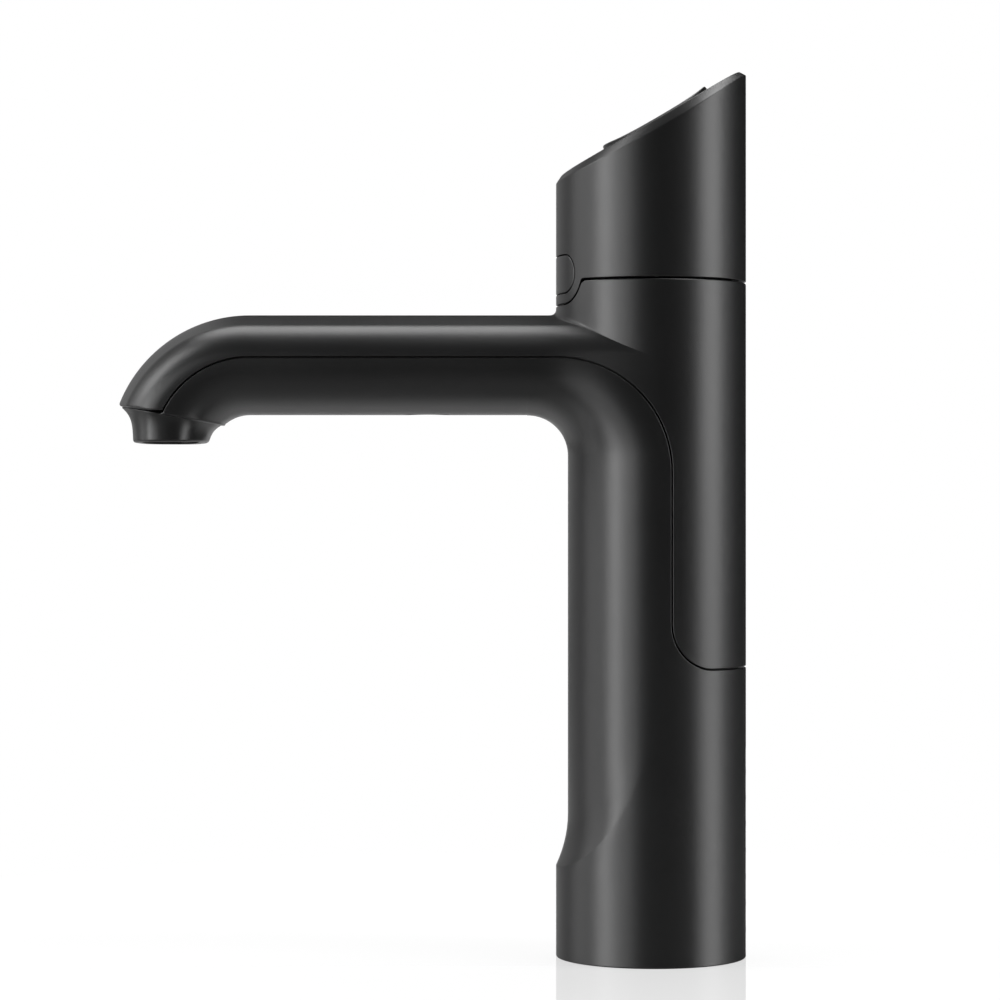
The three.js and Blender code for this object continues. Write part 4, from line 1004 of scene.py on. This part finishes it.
# Slanted face: plate, raised ring with its divider, two half-moon buttons and their inlays.
pad = {
    "plateRadius": 24.3, "plateDepth": 2.2, "plateRim": 0.25, "plateGrid": 2.0, "plateReach": (24, 28),
    "middle": 1.9,  # along the slope
    "radius": 17.4,
    "top": 0.68,  # above the plate, at the middle
    "sideFall": 0.56,  # how much lower it is at its sides
    "endRise": 0.88,  # and higher at its front and rear ends
    "reach": 17.0, "flange": 0.35, "neckRadius": 16.3, "neckDepth": 3.1,
    "neckStep": 0.15,  # the depth changes between two circles this far apart
    "opening": 14.3, "dividerHalf": 0.8, "rim": 0.3, "buttonRadius": 14.0,
    "buttonStep": 0.1,  # from the ring down to a button's edge
    "buttonDepth": 1.6, "buttonRim": 0.4, "buttonCorner": 1.2, "buttonGrid": 0.9,
    "buttonSpans": ((-15, 15.5), (-13, 17)),  # of the grid, across and along
    "cornerSteps": 10, "bowSteps": 60, "flatSteps": 26, "dish": 0.25, "gap": 0.3,
    "inlay": 2.0, "inlayGap": 0.05, "inlayAway": 8.0, "inlayDepth": 0.9, "inlayRim": 0.12,
    "inlaySteps": 40, "inlayInnerSteps": 16,
    "wellReach": 3.0,  # a button's edge this near to its inlay is the well's
    "margin": 0.45,
}
padMiddle = (0, pad["middle"])


def padTop(x, y):
    across, along = x / pad["reach"], (y - pad["middle"]) / pad["reach"]
    return pad["top"] - pad["sideFall"] * across ** 2 + pad["endRise"] * along ** 4


def buttonTop(x, y):
    away = np.hypot(x, y - pad["middle"]) / pad["buttonRadius"]
    dish = pad["dish"] * np.cos(np.clip(away, 0, 1) * pi / 2) ** 2
    return padTop(x, y) - pad["buttonStep"] - dish


# Half of a disc on one side of the divider, with rounded corners.
def halfMoon(side, radius, flatAt):
    corner = pad["buttonCorner"]
    x = flatAt + corner
    height = sqrt((radius - corner) ** 2 - x ** 2)
    lean = atan2(height, x)
    upper = arc((x, height), corner, pi, lean, pad["cornerSteps"])
    bow = arc((0, 0), radius, lean, -lean, pad["bowSteps"])[1:-1]
    flat = joined(flatAt, np.linspace(-height, height, pad["flatSteps"])[1:-1])
    return np.vstack([upper, bow, upper[::-1] * (1, -1), flat]) * (side, 1) + padMiddle


# A shell on the slanted face. Its height over the plate is a number or a function of the place.
def makeFaceShell(name, outline, holes, inner, height, near, depth, rim, look, bodyName, node):
    skin = Skin()
    skin.fill(lambda x, y: onFace(x, y, height(x, y) if callable(height) else height),
              outline, holes, inner, pad["margin"])
    piece = makeShell(
        name, skin, depth, rim, onFace(*near)[0], (0, -slopeSin, slopeCos), look)
    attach(piece, bodyName)
    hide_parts(node)


def makeFace():
    outline = circleOf(pad["plateRadius"] - pad["plateRim"], (0, 0), column["aroundSteps"])
    outline = outline * (1, 1 / slopeCos)  # it is a level circle seen along the slope
    hole = circleOf(pad["neckRadius"] + pad["gap"] + pad["plateRim"], padMiddle)
    inner = gridPoints(*(np.arange(-reach, reach + 1, pad["plateGrid"]) for reach in pad["plateReach"]))
    makeFaceShell("facePlate", outline, [hole], inner, 0.0, (23, 0, 0), pad["plateDepth"],
                  pad["plateRim"], "satinBlack", "tap", "face_plate")

    def ringDepth(p):
        x, y = slopePlace(p)
        if hypot(x, y - pad["middle"]) < pad["neckRadius"] + pad["neckStep"] / 3:
            return pad["neckDepth"]
        return max(pad["flange"], padTop(x, y))

    moons = [halfMoon(side, pad["opening"] + pad["rim"], pad["dividerHalf"] - pad["rim"])
             for side in (1, -1)]
    inner = np.vstack([circleOf(pad["neckRadius"] + step, padMiddle) for step in (pad["neckStep"], 0)])
    makeFaceShell("buttonRing", circleOf(pad["radius"] - pad["rim"], padMiddle), moons, inner, padTop,
                  (16, 2, 1), ringDepth, pad["rim"], "satinBlack", "tap",
                  "keypad_bezel")


def makeButtons():
    for name, side, look, slotName in (
            ("boiling", -1, "redInlay", "red_marker"), ("chilled", 1, "blueInlay", "blue_marker")):
        spot = (side * pad["inlayAway"], pad["middle"])
        outline = halfMoon(side, pad["buttonRadius"] - pad["buttonRim"],
                           pad["dividerHalf"] + pad["gap"] + pad["buttonRim"])
        well = circleOf(pad["inlay"] + pad["inlayGap"] + pad["inlayRim"], spot, pad["inlaySteps"])
        inner = gridPoints(*(np.arange(*span, pad["buttonGrid"]) for span in pad["buttonSpans"]))

        def buttonRim(p, spot=spot):  # smaller round the inlay's well
            x, y = slopePlace(p)
            nearWell = hypot(x - spot[0], y - spot[1]) < pad["wellReach"]
            return pad["inlayRim"] if nearWell else pad["buttonRim"]

        makeFaceShell(f"{name}Button", outline, [well], inner, buttonTop, (spot[0], 8, 1),
                      pad["buttonDepth"], buttonRim, "buttonBlack",
                      f"{name}_key", f"{name}_button")
        outline = circleOf(pad["inlay"] - pad["inlayRim"], spot, pad["inlaySteps"])
        inner = circleOf(pad["inlay"] / 2, spot, pad["inlayInnerSteps"])
        makeFaceShell(f"{name}Inlay", outline, [], inner, buttonTop, (*spot, 1), pad["inlayDepth"],
                      pad["inlayRim"], look, f"{name}_key", f"{name}_marker")


makeHead()
makeLockButton()
makeFace()
makeButtons()
print("head and buttons made")


# Seal bead that lies behind the seam, built along its path.
bead = {
    "radius": 0.9,
    "inset": 2.9,  # from the outer skin
    "sides": 10, "spacing": 1.5, "tipTurn": 1.02, "tipSteps": 24, "armSteps": 20,
    "rootZ": 162.6,  # the path is wrapped round the column below this height
    "rootSteps": 14, "backSpacing": 2.0,
}


def beadTree():
    tree = bpy.data.node_groups.new("sealBead", "GeometryNodeTree")
    sheet = Sheet(tree)
    face = tree.interface
    face.new_socket("Geometry", in_out="INPUT", socket_type="NodeSocketGeometry")
    kinds = {"Radius": "Float", "Spacing": "Float", "Sides": "Int", "Finish": "Material"}
    for label, kind in kinds.items():
        face.new_socket(label, in_out="INPUT", socket_type="NodeSocket" + kind)
    face.new_socket("Geometry", in_out="OUTPUT", socket_type="NodeSocketGeometry")
    given = sheet.node("NodeGroupInput")
    path = sheet.node("GeometryNodeMeshToCurve", Mesh=given["Geometry"])
    even = sheet.node(
        "GeometryNodeResampleCurve", {"mode": "LENGTH"}, Curve=path, Length=given["Spacing"])
    ring = sheet.node(
        "GeometryNodeCurvePrimitiveCircle", Resolution=given["Sides"], Radius=given["Radius"])
    tube = sheet.node("GeometryNodeCurveToMesh", Curve=even, Profile_Curve=ring, Fill_Caps=True)
    smooth = sheet.node("GeometryNodeSetShadeSmooth", Geometry=tube, Shade_Smooth=True)
    real = sheet.node("GeometryNodeRealizeInstances", Geometry=smooth)
    done = sheet.node("GeometryNodeSetMaterial", Geometry=real, Material=given["Finish"])
    sheet.node("NodeGroupOutput", Geometry=done)
    return tree


# Right half of the bead's path, from the tip to the middle of the back.
def beadPath():
    points = []
    for turn in np.linspace(bead["tipTurn"], 0, bead["tipSteps"]):
        reach = arm["seam"] - arm["bendZ"] - seam["tipShrink"] * sin(turn)
        points.append((arm["half"], arm["bendY"] - reach * sin(turn), arm["bendZ"] + reach * cos(turn)))
    for y in np.linspace(arm["bendY"], seam["arcY"], bead["armSteps"])[1:]:
        points.append((armHalf(y), y, arm["seam"]))
    last = asin((bead["rootZ"] - seam["arcZ"]) / seam["arcRadius"])
    root = arc((seam["arcY"], seam["arcZ"]), seam["arcRadius"], pi / 2, last, bead["rootSteps"])
    for y, z in root[1:-1]:
        points.append((max(armHalf(y), sqrt(column["radius"] ** 2 - y * y)), y, z))
    line = seamEdge(0, bead["rootZ"])
    back = straightLine(line[-1], (column["radius"] * pi, line[-1][1]), bead["backSpacing"])
    inward = 1 - bead["inset"] / column["radius"]
    wrapped = unrolled(*np.vstack([line, back[1:]]).T) * (inward, inward, 1)
    return np.vstack([np.array(points) - (bead["inset"], 0, 0), wrapped])


def makeBead():
    right = beadPath()
    points = np.vstack([right, right[-2::-1] * (-1, 1, 1)]) * mm
    mesh = bpy.data.meshes.new("sealBead")
    mesh.from_pydata(points.tolist(), [(i, i + 1) for i in range(len(points) - 1)], [])
    piece = addObject("sealBead", mesh)
    grower = piece.modifiers.new("bead", "NODES")
    grower.node_group = beadTree()
    wanted = {"Radius": bead["radius"] * mm, "Spacing": bead["spacing"] * mm, "Sides": bead["sides"],
              "Finish": looks["rubber"]}
    for item in grower.node_group.interface.items_tree:
        if item.in_out == "INPUT" and item.name in wanted:
            grower[item.identifier] = wanted[item.name]
    bpy.context.view_layer.update()
    grown = piece.evaluated_get(bpy.context.evaluated_depsgraph_get())
    result = bpy.data.meshes.new_from_object(grown)
    piece.modifiers.remove(grower)
    piece.data = result
    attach(piece, "tap")


makeBead()
print("seal bead made")


# Round plug in the arm's underside, over the cover's screw.
plug = {"radius": 6.5, "level": 159.95, "depth": 1.9, "rim": 0.5, "dish": 0.25, "margin": 0.3,
        "rings": (0.85, 0.6, 0.3)}


def makePlug():
    outline = circleOf(plug["radius"] - plug["rim"], (0, 0), meshing["smallCircle"])
    inner = np.vstack([outline * share for share in plug["rings"]])
    skin = Skin()

    def underArm(x, y):
        bow = plug["dish"] * (1 - (np.hypot(x, y) / plug["radius"]) ** 2)
        return joined(x, body["plugY"] + y, plug["level"] + bow)

    skin.fill(underArm, outline, [], inner, plug["margin"])
    piece = makeShell("screwPlug", skin, plug["depth"], plug["rim"], underArm(0, 0)[0], (0, 0, -1),
                      "satinBlack")
    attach(piece, "tap")
    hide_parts("screw_plug")


makePlug()
print("screw plug made")


# Pieces that keep their plain form get their finishes.
plainLooks = {
    "brass": ["base_plate"],
    "rubber": ["base_seal", "outlet_seal", "keypad_mat", "signal_lead", "lock_lead"],
    "steel": ["cover_screw", "head_screw_1", "head_screw_2",
              *[f"{kind}_screw_{i}" for kind in ("base_plate", "carrier") for i in (1, 2, 3)]],
    "silicone": ["boiling_tube", "chilled_tube", "vent_tube"],
    "mouldedPlastic": [
        "nozzle_manifold", "outlet_insert", "tube_clip", "column_clamp", "lead_socket", "head_carrier",
        "lock_switch", "boiling_switch", "chilled_switch", "board_connector"],
    "boardGreen": ["circuit_board", "lock_switch_board"],
}
for look, names in plainLooks.items():
    for name in names:
        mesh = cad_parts[name].data
        mesh.materials.clear()
        mesh.materials.append(looks[look])
print("inner pieces finished")


def plain(bounds):
    return [[float(c) for c in corner] for corner in bounds]
